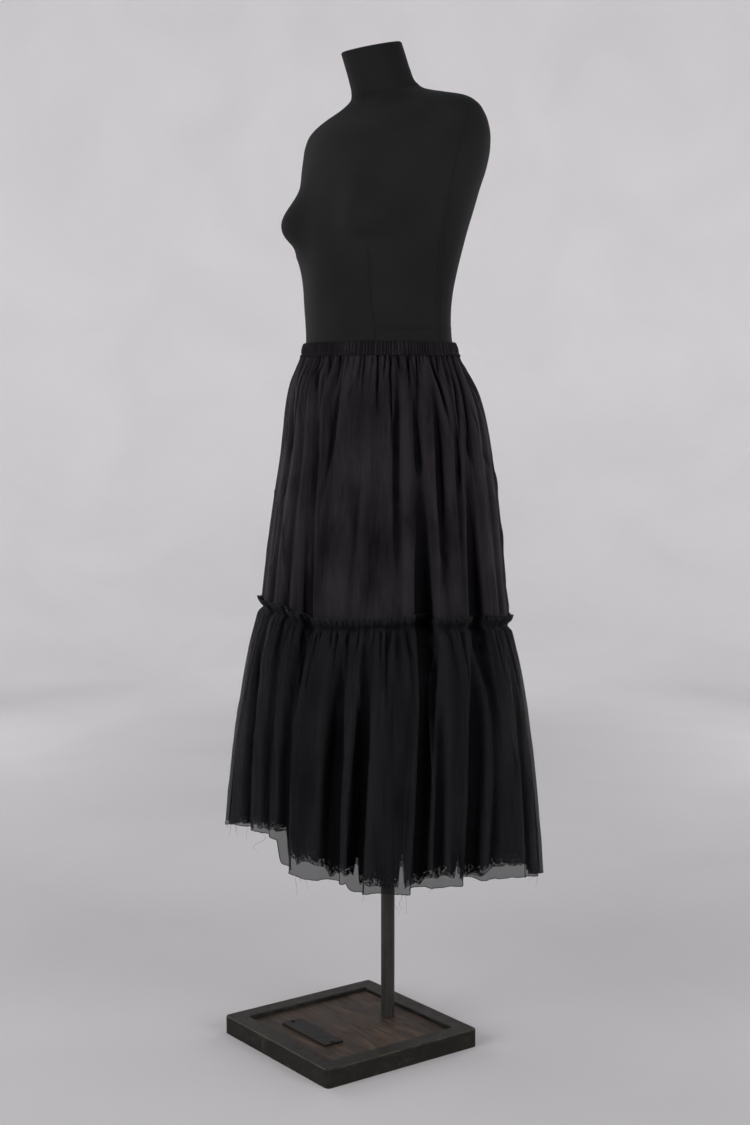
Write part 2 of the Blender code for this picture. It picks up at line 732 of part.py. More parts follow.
def build_lower_net(side, material):
    """The heading stands out over the seam, the seam draws the net in, and long folds fall to the hem."""
    azimuths, waves = lower_columns(side)
    rows = []
    for drop, lift, ripple, ruffle in HEADING_LEVELS[1:]:
        row = []
        for azimuth, wave in zip(azimuths, waves):
            radius = lower_radius(azimuth, drop, 1.0) + lift + ripple * (1.0 + wave)
            row.append(place(azimuth, radius, round_line(SEAM_LINE, azimuth) - drop + ruffle * wave))
        rows.append(row)
    for part, ripple in NET_LEVELS[1:]:
        row = []
        for azimuth, wave in zip(azimuths, waves):
            leaning = azimuth + fold_drift(LOWER_FOLDS, azimuth) * part
            seam = round_line(SEAM_LINE, leaning)
            length = seam - round_line(HEM_LINE, leaning)
            radius = lower_radius(leaning, length * part, length) + ripple * (1.0 + wave)
            row.append(place(leaning, radius, seam - length * part))
        rows.append(row)
    return add_wall(f"lower_net_{side}", rows, CLOTH_WALL, material)


def build_lower_inner(side, material):
    """The closer layer under the net: it hangs from the upper tier's edge and ends above the hem."""
    azimuths = upper_columns(side)[0]
    rows = []
    for part in INNER_LEVELS:
        row = []
        for azimuth in azimuths:
            joined = azimuth + fold_drift(UPPER_FOLDS, azimuth)
            leaning = joined + fold_drift(LOWER_FOLDS, joined) * part
            seam = round_line(SEAM_LINE, leaning)
            length = seam - round_line(HEM_LINE, leaning)
            start = UPPER_OVERLAP + GAP
            drop = start + (length - INNER_SHORTER_BY - start) * part
            if part == 0.0:
                radius = upper_radius(leaning, seam - UPPER_OVERLAP, 1.0)
            else:
                nearby = (leaning - INNER_NEIGHBOUR_AZIMUTH, leaning, leaning + INNER_NEIGHBOUR_AZIMUTH)
                radius = min(lower_radius(neighbour, drop, length) for neighbour in nearby)
                radius -= CLOTH_WALL + INNER_ROOM
            row.append(place(leaning, radius, seam - drop))
        rows.append(row)
    return add_wall(f"lower_inner_{side}", rows, CLOTH_WALL, material)


def build_all():
    clear_scene()
    steel = make_material("blackened_steel", (0.045, 0.043, 0.042), 0.45, 0.85)
    wood = make_material("stained_wood", (0.075, 0.045, 0.030), 0.55)
    plate = make_material("black_plate", (0.030, 0.029, 0.028), 0.50, 0.40)
    screw = make_material("black_screw", (0.020, 0.020, 0.020), 0.40, 0.60)
    jersey = make_material("charcoal_jersey", (0.016, 0.017, 0.017), 0.85)
    elastic = make_material("black_casing", (0.012, 0.011, 0.013), 0.85)
    cotton = make_material("black_cotton", (0.014, 0.012, 0.015), 0.80)
    net = make_material("black_net", (0.010, 0.010, 0.011), 0.75)
    closer = make_material("black_inner_cloth", (0.006, 0.006, 0.007), 0.85)
    build_base_frame(steel)
    build_base_board(wood)
    build_pole(steel)
    build_plate(plate)
    build_plate_screws(screw)
    build_form(jersey)
    build_waistband(elastic)
    for side in ("front", "back"):
        build_upper_tier(side, cotton)
        build_lower_net(side, net)
        build_lower_inner(side, closer)


build_all()
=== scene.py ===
# %% [markdown]
# # A tiered gathered skirt on a limbless dress form
# The real object is a black skirt on a dress form with a pole stand. The skirt has an elastic waistband,
# an upper tier of thin cotton, and a lower tier of sheer net over a closer inner layer.
# The frame is the solid model of all of it. This lesson dresses the frame: it keeps the hard parts of the
# stand and gives them finishes, and it puts fine cloth where the plain cloth walls are.
# We load the frame first, because every later piece takes its place from it.

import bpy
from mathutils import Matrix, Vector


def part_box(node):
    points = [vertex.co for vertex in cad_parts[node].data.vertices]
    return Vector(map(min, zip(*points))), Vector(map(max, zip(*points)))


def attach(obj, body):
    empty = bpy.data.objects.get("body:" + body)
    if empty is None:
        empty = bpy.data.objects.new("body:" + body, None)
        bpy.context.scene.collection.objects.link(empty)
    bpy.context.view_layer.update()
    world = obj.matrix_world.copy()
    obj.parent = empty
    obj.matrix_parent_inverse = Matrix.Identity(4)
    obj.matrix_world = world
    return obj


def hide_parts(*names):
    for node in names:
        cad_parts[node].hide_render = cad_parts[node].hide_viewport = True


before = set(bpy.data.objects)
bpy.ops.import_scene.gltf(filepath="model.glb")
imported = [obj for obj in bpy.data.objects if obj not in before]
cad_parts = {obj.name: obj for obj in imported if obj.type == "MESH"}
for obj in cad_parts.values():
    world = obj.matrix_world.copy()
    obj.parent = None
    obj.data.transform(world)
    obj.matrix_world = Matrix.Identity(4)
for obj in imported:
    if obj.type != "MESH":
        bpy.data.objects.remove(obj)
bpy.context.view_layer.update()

# %% [markdown]
# ## The camera
# The photo was taken from the skirt's left front, a little above the waist and looking slightly down.
# A portrait picture uses the sensor's long side for its height, so a 36 mm sensor and this lens give the
# photo's narrow view. We make the camera first, so each new piece can be looked at straight away.

# %% Make the camera
import math

import bpy

CAMERA_PLACE = (2.226, -1.675, 1.046)
CAMERA_TURN = 53.48
CAMERA_DIP = 5.243
LENS = 54.4


def add_camera():
    """The photo's camera, made the scene's own."""
    data = bpy.data.cameras.new("camera")
    data.lens = LENS
    data.sensor_width = 36.0
    camera = bpy.data.objects.new("camera", data)
    camera.location = CAMERA_PLACE
    camera.rotation_euler = (math.radians(90.0 - CAMERA_DIP), 0.0, math.radians(CAMERA_TURN))
    bpy.context.collection.objects.link(camera)
    bpy.context.scene.camera = camera
    return camera


camera = add_camera()
print("camera lens", camera.data.lens, "mm")

# %% [markdown]
# ## Materials from nodes
# Every finish here starts from the Principled shader. A small helper makes the shader, sets the values
# that are the same all over, and hands back the node tree for the rest. Others add a noise stretched
# along one direction, mix two patterns, and make a bump from any pattern. Cloth uses its own UV map,
# which is in metres on the flat cloth, so a weave follows the folds. Hard parts use object coordinates.

# %% Material helpers
def new_finish(name, colour, roughness, **values):
    """A material with one Principled shader; values are set on its sockets by name."""
    material = bpy.data.materials.new(name)
    material.use_nodes = True
    shader = material.node_tree.nodes["Principled BSDF"]
    shader.inputs["Base Color"].default_value = (*colour, 1.0)
    shader.inputs["Roughness"].default_value = roughness
    for socket, value in values.items():
        shader.inputs[socket.replace("_", " ")].default_value = value
    material.diffuse_color = (*colour, 1.0)
    return material, material.node_tree, shader


def coordinates(tree, output, scale=(1.0, 1.0, 1.0)):
    """Texture coordinates multiplied by a scale for each axis."""
    source = tree.nodes.new("ShaderNodeTexCoord")
    mapping = tree.nodes.new("ShaderNodeMapping")
    mapping.inputs["Scale"].default_value = scale
    tree.links.new(source.outputs[output], mapping.inputs["Vector"])
    return mapping.outputs["Vector"]


def add_noise(tree, output, scale, detail=3.0, distortion=0.0):
    """Cloudy noise; a large scale along one axis makes it fine along that axis."""
    noise = tree.nodes.new("ShaderNodeTexNoise")
    noise.inputs["Scale"].default_value = 1.0
    noise.inputs["Detail"].default_value = detail
    noise.inputs["Distortion"].default_value = distortion
    tree.links.new(coordinates(tree, output, scale), noise.inputs["Vector"])
    return noise.outputs["Fac"]


def add_threads(tree, direction, scale, distortion=0.0):
    """Even stripes on the flat cloth, as threads make them; the scale is in stripes for each metre."""
    wave = tree.nodes.new("ShaderNodeTexWave")
    wave.bands_direction = direction
    wave.inputs["Scale"].default_value = scale * math.pi / 10.0
    wave.inputs["Distortion"].default_value = distortion
    tree.links.new(coordinates(tree, "UV"), wave.inputs["Vector"])
    return wave.outputs["Fac"]


def add_ramp(tree, factor, stops):
    """A colour ramp from (place, colour) pairs; a single number stands for a grey."""
    ramp = tree.nodes.new("ShaderNodeValToRGB")
    elements = ramp.color_ramp.elements
    while len(elements) < len(stops):
        elements.new(0.5)
    for element, (place, colour) in zip(elements, stops):
        element.position = place
        element.color = (*(colour if isinstance(colour, tuple) else (colour,) * 3), 1.0)
    tree.links.new(factor, ramp.inputs["Fac"])
    return ramp.outputs["Color"]


def combine(tree, operation, first, second):
    """One step of arithmetic on outputs of nodes or on numbers."""
    node = tree.nodes.new("ShaderNodeMath")
    node.operation = operation
    for socket, value in zip(node.inputs, (first, second)):
        if isinstance(value, (int, float)):
            socket.default_value = value
        else:
            tree.links.new(value, socket)
    return node.outputs["Value"]


def mix_patterns(tree, first, share, second, rest):
    """Two patterns added together, each taken at its own share."""
    first, second = combine(tree, "MULTIPLY", first, share), combine(tree, "MULTIPLY", second, rest)
    return combine(tree, "ADD", first, second)


def colour_by(tree, shader, pattern, stops, socket="Base Color"):
    """Drive one of the shader's colours or values by a pattern."""
    tree.links.new(add_ramp(tree, pattern, stops), shader.inputs[socket])


def add_bump(tree, shader, height, distance, strength=1.0):
    """Small relief that only bends the light."""
    bump = tree.nodes.new("ShaderNodeBump")
    bump.inputs["Distance"].default_value = distance
    bump.inputs["Strength"].default_value = strength
    tree.links.new(height, bump.inputs["Height"])
    tree.links.new(bump.outputs["Normal"], shader.inputs["Normal"])


def make_speckled(name, colour, roughness, gloss, scale, stops):
    """A plain dark finish with a fine, uneven colour, for seam lines and threads."""
    material, tree, shader = new_finish(name, colour, roughness, Specular_IOR_Level=gloss)
    colour_by(tree, shader, add_noise(tree, "Object", (scale, scale, scale)), stops)
    return material


print("material helpers ready")

# %% [markdown]
# ## The studio
# A plain pale floor that sweeps up into a wall far away gives a background with no line in it, as a
# painted sweep does in a studio. It is a round bowl, so it looks the same from every side, and it is
# open at the top. The sky over it is bright near the wall's edge and dim overhead, so most of the light
# comes from the sides, as it does between large soft boxes. Four soft lights at chest height, two of
# them strong, reach into the cloth, and only the deep folds go dark.

# %% Floor
import numpy as np

FLOOR_RADIUS = 3.4
FLOOR_STEP = 5.0
SWEEP_RADIUS = 3.0
SWEEP_STEPS = 12
WALL_TOP = 3.9


def link_mesh(name, points, faces, material):
    """A smooth-shaded mesh object in the scene."""
    mesh = bpy.data.meshes.new(name)
    mesh.from_pydata(np.asarray(points).tolist(), [], np.asarray(faces).tolist())
    mesh.materials.append(material)
    mesh.shade_smooth()
    item = bpy.data.objects.new(name, mesh)
    bpy.context.collection.objects.link(item)
    return item


def ring_faces(rows, columns, closed=True):
    """Quads between rows of points, each row's points running with the azimuth, facing out."""
    steps = columns if closed else columns - 1
    row = np.arange(rows - 1)[:, None] * columns
    column = np.arange(steps)[None, :]
    after = (column + 1) % columns
    corners = (row + column, row + columns + column, row + columns + after, row + after)
    return np.stack(corners, axis=-1).reshape(-1, 4)


def link_grid(name, grid, material):
    """A mesh from a grid of points that is closed round."""
    return link_mesh(name, grid.reshape(-1, 3), ring_faces(*grid.shape[:2]), material)


def join_grids(grids, closed=True):
    """The points and faces of one mesh made of several grids."""
    starts = np.cumsum([0] + [len(grid) * grid.shape[1] for grid in grids])
    points = np.concatenate([grid.reshape(-1, 3) for grid in grids])
    faces = [ring_faces(*grid.shape[:2], closed) + start for grid, start in zip(grids, starts)]
    return points, np.concatenate(faces)


# Painted shade by distance from the stand: dark paint on the floor with a painted shadow a little darker
# round the foot, paler up the sweep, palest on the wall and a little darker again towards its top.
PAINTED_SHADE_VALUES = (
    ("away", "value"),
    (0.50, 0.412), (0.75, 0.408), (1.00, 0.420), (1.60, 0.408), (2.10, 0.414),
    (2.40, 0.440), (2.70, 0.486), (3.00, 0.575), (3.40, 0.758), (3.75, 0.860),
    (4.40, 0.863), (5.90, 0.858), (6.40, 0.830), (6.80, 0.787), (7.10, 0.753),
)
PAINT_TINT = (1.0, 0.977, 0.992)
PAINT_REACH = 8.0
PAINTED_SHADE_STOPS = tuple(
    (away / PAINT_REACH, tuple(value * part for part in PAINT_TINT)) for away, value in PAINTED_SHADE_VALUES[1:])
PAINT_CLOUDS = 0.16


def make_studio_paint():
    """Pale paint with faint clouds and painted shade by distance: darker on the floor, paler up the wall, and
    a painted shadow a little darker round the foot of the stand.
    """
    material, tree, shader = new_finish("studio_paint", (0.7, 0.68, 0.7), 0.9, Specular_IOR_Level=0.1)
    length = tree.nodes.new("ShaderNodeVectorMath")
    length.operation = "LENGTH"
    tree.links.new(coordinates(tree, "Object"), length.inputs[0])
    away = combine(tree, "DIVIDE", length.outputs["Value"], PAINT_REACH)
    clouds = add_noise(tree, "Object", (1.7, 1.7, 1.7), 7.0, 0.6)
    cloudy = combine(tree, "MULTIPLY_ADD", clouds, PAINT_CLOUDS)
    cloudy.node.inputs[2].default_value = 1.0 - PAINT_CLOUDS / 2.0
    shaded = tree.nodes.new("ShaderNodeVectorMath")
    shaded.operation = "SCALE"
    tree.links.new(add_ramp(tree, away, PAINTED_SHADE_STOPS), shaded.inputs[0])
    tree.links.new(cloudy, shaded.inputs["Scale"])
    tree.links.new(shaded.outputs[0], shader.inputs["Base Color"])
    return material


def add_studio_floor():
    """A flat floor, a quarter round and an upright wall, turned about the stand."""
    turns = np.radians(np.arange(0.0, 360.0, FLOOR_STEP))
    profile = [(0.001, 0.0), (1.5, 0.0), (FLOOR_RADIUS, 0.0)]
    for step in range(1, SWEEP_STEPS + 1):
        bend = math.radians(90.0 * step / SWEEP_STEPS)
        across = FLOOR_RADIUS + SWEEP_RADIUS * math.sin(bend)
        profile.append((across, SWEEP_RADIUS * (1.0 - math.cos(bend))))
    profile.append((FLOOR_RADIUS + SWEEP_RADIUS, WALL_TOP))
    points = [(r * math.sin(t), -r * math.cos(t), z) for r, z in reversed(profile) for t in turns]
    faces = ring_faces(len(profile), len(turns))[:, ::-1]
    floor = link_mesh("studio_floor", points, faces, make_studio_paint())
    return floor


studio_floor = add_studio_floor()
print("floor sweep faces:", len(studio_floor.data.polygons))

# %% Sky and lights
SKY_STOPS = ((0.0, (1.00, 1.00, 1.02)), (0.55, (0.85, 0.85, 0.87)), (0.85, (0.25, 0.25, 0.26)))
SKY_STRENGTH = 1.0
LIGHT_DISTANCE = 3.0
LIGHT_SIZE = 1.7
LIGHT_AIMS_LOWER = 0.9
SOFT_LIGHTS = (
    ("name", "degrees from the camera", "height", "watts"),
    ("front_left_light", -50.0, 1.45, 78.0),
    ("front_right_light", 46.0, 1.35, 62.0),
    ("back_left_light", -138.0, 1.45, 34.0),
    ("back_right_light", 138.0, 1.45, 34.0),
)


def add_soft_light(name, azimuth, height, power):
    """An area light aimed at the skirt."""
    data = bpy.data.lights.new(name, "AREA")
    data.size = LIGHT_SIZE
    data.energy = power
    light = bpy.data.objects.new(name, data)
    turn = math.radians(azimuth)
    light.location = (LIGHT_DISTANCE * math.sin(turn), -LIGHT_DISTANCE * math.cos(turn), height)
    aim = light.location.copy()
    aim.z -= LIGHT_AIMS_LOWER
    light.rotation_euler = aim.to_track_quat("Z", "Y").to_euler()
    light.visible_camera = False
    bpy.context.collection.objects.link(light)


def set_sky():
    """A sky whose brightness depends on how high one looks."""
    world = bpy.data.worlds.new("studio_sky")
    world.use_nodes = True
    tree = world.node_tree
    separate = tree.nodes.new("ShaderNodeSeparateXYZ")
    tree.links.new(coordinates(tree, "Generated"), separate.inputs["Vector"])
    background = tree.nodes["Background"]
    tree.links.new(add_ramp(tree, separate.outputs["Z"], SKY_STOPS), background.inputs["Color"])
    background.inputs["Strength"].default_value = SKY_STRENGTH
    bpy.context.scene.world = world


set_sky()
for name, aside, height, power in SOFT_LIGHTS[1:]:
    add_soft_light(name, CAMERA_TURN + aside, height, power)
bpy.context.scene.view_settings.view_transform = "Standard"
print("soft lights:", len(SOFT_LIGHTS) - 1)

# %% [markdown]
# ## The stand
# The stand is hard, so its solids stay and only get finishes. The square frame is painted nearly black
# with a breath of bronze, rubbed paler along its edges. The board is stained wood: its grain is a noise
# stretched along one direction, with broad pale streaks and fine dark pores. The plate and the screws
# are satin black, and the pole is dark oiled steel with a soft shine that runs down it.

# %% Stand finishes
EDGE_WIDTH = 0.0016


def ramp_up(tree, value, start, width):
    """0 below a start and 1 above it, over a narrow width."""
    share = combine(tree, "DIVIDE", combine(tree, "SUBTRACT", value, start), width)
    share.node.use_clamp = True
    return share


def outer_edges(tree, node):
    """1 along the top outer edges and the upright corners of a square frame, and 0 elsewhere."""
    low, high = (np.array(corner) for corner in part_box(node))
    middle, half = (low + high) / 2.0, (high - low) / 2.0
    vector = coordinates(tree, "Object")
    vector.node.inputs["Location"].default_value = (-middle[0], -middle[1], -low[2])
    parts = tree.nodes.new("ShaderNodeSeparateXYZ")
    tree.links.new(vector, parts.inputs["Vector"])
    across = combine(tree, "ABSOLUTE", parts.outputs["X"], 0.0)
    along = combine(tree, "ABSOLUTE", parts.outputs["Y"], 0.0)
    rim, top = float(half[0]) - EDGE_WIDTH, float(high[2] - low[2]) - EDGE_WIDTH
    near_rim = ramp_up(tree, combine(tree, "MAXIMUM", across, along), rim, EDGE_WIDTH / 2.0)
    near_corner = ramp_up(tree, combine(tree, "MINIMUM", across, along), rim, EDGE_WIDTH / 2.0)
    near_top = ramp_up(tree, parts.outputs["Z"], top, EDGE_WIDTH / 2.0)
    return combine(tree, "MAXIMUM", combine(tree, "MULTIPLY", near_rim, near_top), near_corner)


def make_frame_paint():
    """Nearly black paint, brushed on and rubbed paler along the edges."""
    material, tree, shader = new_finish(
        "bronze_black_paint", (0.011, 0.010, 0.0085), 0.5, Specular_IOR_Level=0.10)
    rubbed = add_noise(tree, "Object", (38.0, 38.0, 60.0), 6.0, 0.4)
    brushed = add_noise(tree, "Object", (160.0, 160.0, 160.0), 4.0)
    both = mix_patterns(tree, rubbed, 0.6, brushed, 0.4)
    edge = combine(tree, "MULTIPLY", outer_edges(tree, "base_frame"), combine(tree, "MULTIPLY", rubbed, 0.62))
    stops = (
        (0.34, (0.0062, 0.0058, 0.0050)), (0.56, (0.0125, 0.0114, 0.0092)), (0.80, (0.0440, 0.0385, 0.0300)))
    colour_by(tree, shader, combine(tree, "ADD", both, edge), stops)
    colour_by(tree, shader, rubbed, ((0.3, 0.40), (0.7, 0.62)), "Roughness")
    add_bump(tree, shader, both, 0.0006, 0.5)
    return material


def make_stained_wood():
    """Brown stain over a long grain, with pale smears and dark pores."""
    material, tree, shader = new_finish("stained_board", (0.032, 0.022, 0.017), 0.55, Specular_IOR_Level=0.10)
    grain = add_noise(tree, "Object", (9.0, 70.0, 9.0), 6.0, 1.2)
    pores = add_noise(tree, "Object", (40.0, 700.0, 40.0), 3.0)
    smear = add_noise(tree, "Object", (14.0, 22.0, 14.0), 5.0, 0.8)
    stain = mix_patterns(tree, grain, 0.5, smear, 0.5)
    stain = combine(tree, "SUBTRACT", stain, combine(tree, "MULTIPLY", pores, 0.12))
    stops = (
        (0.33, (0.0120, 0.0074, 0.0050)), (0.45, (0.0280, 0.0182, 0.0126)), (0.58, (0.0600, 0.0400, 0.0285)))
    colour_by(tree, shader, stain, stops)
    colour_by(tree, shader, smear, ((0.3, 0.36), (0.7, 0.66)), "Roughness")
    add_bump(tree, shader, combine(tree, "ADD", pores, grain), 0.0005, 0.6)
    return material


def make_satin_black(name, colour, roughness, speckle):
    """Black metal with a faint speckle, a little darker and paler than its colour."""
    material, tree, shader = new_finish(name, colour, roughness, Specular_IOR_Level=0.09)
    fine = add_noise(tree, "Object", (speckle, speckle, speckle), 5.0)
    darker, paler = (tuple(share * value for value in colour) for share in (0.6, 1.4))
    colour_by(tree, shader, fine, ((0.32, darker), (0.70, paler)))
    add_bump(tree, shader, fine, 0.0003, 0.4)
    return material


def make_oiled_steel():
    """Dark drawn tube: streaks that run up the pole, and broader spots."""
    material, tree, shader = new_finish(
        "oiled_steel", (0.020, 0.019, 0.0175), 0.40, Metallic=0.25, Specular_IOR_Level=0.22)
    drawn = add_noise(tree, "Object", (300.0, 300.0, 6.0), 5.0)
    spots = add_noise(tree, "Object", (60.0, 60.0, 30.0), 5.0)
    stops = ((0.36, (0.0125, 0.0120, 0.0112)), (0.62, (0.0290, 0.0278, 0.0255)))
    colour_by(tree, shader, mix_patterns(tree, drawn, 0.5, spots, 0.5), stops)
    add_bump(tree, shader, drawn, 0.0002, 0.3)
    return material


screw_black = make_satin_black("screw_black", (0.008, 0.008, 0.008), 0.4, 500.0)
STAND_FINISHES = {
    "base_frame": make_frame_paint(),
    "base_board": make_stained_wood(),
    "base_plate": make_satin_black("satin_black_plate", (0.0078, 0.0066, 0.0062), 0.50, 90.0),
    "plate_screw_left": screw_black,
    "plate_screw_right": screw_black,
    "stand_pole": make_oiled_steel(),
}
for node, finish in STAND_FINISHES.items():
    bpy.data.objects[node].material_slots[0].material = finish
print("stand finishes:", sorted(STAND_FINISHES))

# %% [markdown]
# ## Reading smooth shapes from short tables
# The form and the cloth are described by short tables: a row for each level, or for each fold. We read
# them on smooth curves, and with arrays, so thousands of points are worked out in one step. An azimuth
# is in degrees from the front, turning towards the form's left. The tables and rules are those of the
# solid model, refined where the photo shows more, so the fine cloth lies close to the solid's wall.

# %% Table and ring helpers
def smooth_step(value):
    """An eased rise from 0 to 1."""
    value = np.clip(value, 0.0, 1.0)
    return value * value * (3.0 - 2.0 * value)


def between_keys(data, slopes, index, part, span=1.0):
    """A smooth curve from one key to the next, with the given slopes at both."""
    rise = 3.0 * part**2 - 2.0 * part**3
    bend = slopes[index] * (part - 2.0 * part**2 + part**3) + slopes[index + 1] * (part**3 - part**2)
    return data[index] * (1.0 - rise) + data[index + 1] * rise + bend * span


def smooth_column(table, column, value):
    """Read one named column of a table at values of its first column, on a smooth curve."""
    rows = sorted(table[1:])
    keys = np.array([row[0] for row in rows])
    data = np.array([row[table[0].index(column)] for row in rows])
    slopes = np.gradient(data, keys)
    value = np.clip(value, keys[0], keys[-1])
    index = np.clip(np.searchsorted(keys, value, side="right") - 1, 0, len(keys) - 2)
    span = keys[index + 1] - keys[index]
    return between_keys(data, slopes, index, (value - keys[index]) / span, span)


def round_line(table, azimuth):
    """Height of a line that runs all round, eased from one row of its table to the next."""
    keys, data = np.array(table[1:]).T
    azimuth = (azimuth - keys[0]) % 360.0 + keys[0]
    index = np.clip(np.searchsorted(keys, azimuth, side="right") - 1, 0, len(keys) - 2)
    part = smooth_step((azimuth - keys[index]) / (keys[index + 1] - keys[index]))
    return data[index] + (data[index + 1] - data[index]) * part


def azimuth_between(first, second):
    """Signed degrees from the second azimuth to the first."""
    return (first - second + 180.0) % 360.0 - 180.0


def oval_radius(azimuth, half_width, front, back, squareness=2.0):
    """Distance from the axis to a ring whose front and back reach differ."""
    turn = np.radians(azimuth)
    reach = np.where(np.cos(turn) > 0.0, front, back)
    across = np.abs(np.sin(turn) / half_width) ** squareness
    along = np.abs(np.cos(turn) / reach) ** squareness
    return (across + along) ** (-1.0 / squareness)


def place(azimuth, radius, height):
    """Points from azimuths, distances from the axis and heights."""
    turn = np.radians(azimuth)
    return np.stack((radius * np.sin(turn), -radius * np.cos(turn), height + 0.0 * radius), axis=-1)


def ripple_field(azimuth, height, seed, waves=24, finest=9.0, upright=0.35):
    """A smooth uneven field about 0, from waves that run round and up; upright is their slant."""
    chance = np.random.default_rng(seed)
    field = np.zeros(np.broadcast(azimuth, height).shape)
    for _ in range(waves):
        turns = int(chance.integers(2, int(finest * 4)))
        climb = chance.normal(0.0, upright) * turns / 0.2
        phase = chance.uniform(0.0, 2.0 * math.pi)
        field += np.sin(np.radians(azimuth) * turns + height * climb + phase) / turns**0.5
    return field / waves**0.5


print("table helpers ready")

# %% [markdown]
# ## The dress form
# The form is a firm shell covered in charcoal jersey, sewn from panels: the thin seams run down the
# sides and the back, below the bust, round the waist and round the neck. The solid has forty sides, so here
# the same table of levels makes a far smoother skin. The seams are narrow strips with a dip in the
# middle, laid on the skin, because a fine groove would need millions of points in the skin itself.

# %% Jersey
def make_jersey():
    """Matt charcoal knit with faint clouds; its loops are only a bump."""
    material, tree, shader = new_finish(
        "charcoal_jersey", (0.013, 0.013, 0.0135), 0.9, Specular_IOR_Level=0.04,
        Sheen_Weight=0.015, Sheen_Roughness=0.5)
    shader.inputs["Sheen Tint"].default_value = (0.75, 0.76, 0.80, 1.0)
    cloudy = add_noise(tree, "Object", (9.0, 9.0, 9.0), 4.0)
    colour_by(tree, shader, cloudy, ((0.30, (0.0074, 0.0075, 0.0078)), (0.72, (0.0104, 0.0105, 0.0107))))
    around = add_threads(tree, "X", 900.0)
    down = add_threads(tree, "Y", 1200.0)
    add_bump(tree, shader, combine(tree, "MULTIPLY", around, down), 0.0002, 0.6)
    return material


jersey = make_jersey()
print("jersey ready")

# %% Form skin
FORM_SECTIONS = (
    ("height", "half_width", "centre_y", "front", "back", "squareness", "rise"),
    (0.890, 0.146, 0.000, 0.120, 0.108, 2.20, 0.00),
    (0.907, 0.160, 0.000, 0.135, 0.121, 2.15, 0.00),
    (0.945, 0.169, 0.000, 0.142, 0.128, 2.05, 0.00),
    (0.990, 0.170, 0.000, 0.145, 0.129, 2.00, 0.00),
    (1.035, 0.162, 0.000, 0.143, 0.119, 2.00, 0.00),
    (1.078, 0.149, 0.000, 0.138, 0.105, 2.00, 0.00),
    (1.112, 0.1385, 0.000, 0.1365, 0.0915, 2.00, 0.00),
    (1.147, 0.1330, 0.000, 0.1335, 0.0800, 2.00, 0.00),
    (1.186, 0.1325, 0.000, 0.1335, 0.0750, 2.00, 0.00),
    (1.222, 0.135, 0.000, 0.1340, 0.0780, 2.00, 0.00),
    (1.258, 0.141, 0.000, 0.1330, 0.0860, 2.00, 0.00),
    (1.292, 0.148, 0.000, 0.1310, 0.0950, 2.02, 0.00),
    (1.326, 0.155, 0.000, 0.1290, 0.1050, 2.05, 0.00),
    (1.358, 0.162, 0.000, 0.1260, 0.1150, 2.10, 0.00),
    (1.390, 0.169, 0.000, 0.1200, 0.1240, 2.15, 0.00),
    (1.420, 0.178, 0.000, 0.1100, 0.1300, 2.25, 0.00),
    (1.450, 0.187, 0.003, 0.0990, 0.1240, 2.35, 0.00),
    (1.476, 0.193, 0.006, 0.0880, 0.1080, 2.45, 0.00),
    (1.497, 0.192, 0.008, 0.0750, 0.0880, 2.50, 0.02),
    (1.512, 0.183, 0.010, 0.0630, 0.0710, 2.45, 0.05),
    (1.524, 0.160, 0.010, 0.0550, 0.0600, 2.30, 0.09),
    (1.534, 0.117, 0.006, 0.0510, 0.0540, 2.10, 0.12),
    (1.543, 0.079, 0.000, 0.0500, 0.0460, 2.00, 0.15),
    (1.555, 0.059, -0.007, 0.0510, 0.0430, 2.00, 0.19),
    (1.572, 0.053, -0.014, 0.0505, 0.0420, 2.00, 0.25),
    (1.595, 0.0505, -0.024, 0.0500, 0.0440, 2.00, 0.24),
    (1.615, 0.050, -0.033, 0.0490, 0.0450, 2.00, 0.23),
)
BUST_AZIMUTH = 39.0
BUST_HEIGHT = 1.336
BUST_PROJECTION = 0.034
BUST_SPREAD = 18.0
BUST_RISE = 0.046
BRIDGE_PROJECTION = 0.010
BRIDGE_SPREAD = 24.0
BELOW_BUST = (1.120, 1.200, 1.255, 1.315)
FORM_COLUMNS = 240
FORM_LEVELS = 210
FORM_UV = (0.95, 0.75)
POLE_RADIUS = 0.0115
POLE_CLEARANCE = 0.0004
TOP_CAP_SHARES = (0.02, 0.50, 0.96)
LOWER_RIM_SHARE = 0.97
NECK_EDGE_ROUND = 0.002
PANEL_EDGE = 0.0030
PANEL_EDGE_AZIMUTH = 41.3
PANEL_EDGE_SPREAD = 7.0
TUCK_DEPTH = 0.0045
TUCK_HEIGHT = 1.303
TUCK_RISE = 0.012
TUCK_SPREAD = 11.0


def form_points(azimuth, height, inward=0.0):
    """Points of the skin; inward moves them towards the axis, for the caps."""
    values = [smooth_column(FORM_SECTIONS, name, height) for name in FORM_SECTIONS[0][1:]]
    half_width, centre_y, front, back, squareness, rise = values
    level = np.exp(-(((height - BUST_HEIGHT) / BUST_RISE) ** 2))
    swell = sum(
        np.exp(-((azimuth_between(azimuth, side * BUST_AZIMUTH) / BUST_SPREAD) ** 2)) for side in (-1, 1))
    bridge = np.exp(-((azimuth_between(azimuth, 0.0) / BRIDGE_SPREAD) ** 2))
    radius = oval_radius(azimuth, half_width, front, back, squareness)
    radius = radius + level * (BUST_PROJECTION * swell + BRIDGE_PROJECTION * bridge) - inward
    low, full, lasts, high = BELOW_BUST
    below_bust = smooth_step((height - low) / (full - low)) * smooth_step((high - height) / (high - lasts))
    for side in (-1, 1):
        aside = np.abs(azimuth_between(azimuth, side * PANEL_EDGE_AZIMUTH))
        tuck = np.exp(-(((height - TUCK_HEIGHT) / TUCK_RISE) ** 2)) * np.exp(-((aside / TUCK_SPREAD) ** 2))
        radius = radius + PANEL_EDGE * below_bust * np.exp(-aside / PANEL_EDGE_SPREAD) - TUCK_DEPTH * tuck
    points = place(azimuth, radius, height)
    points[..., 2] += rise * points[..., 1]
    points[..., 1] += centre_y
    return points


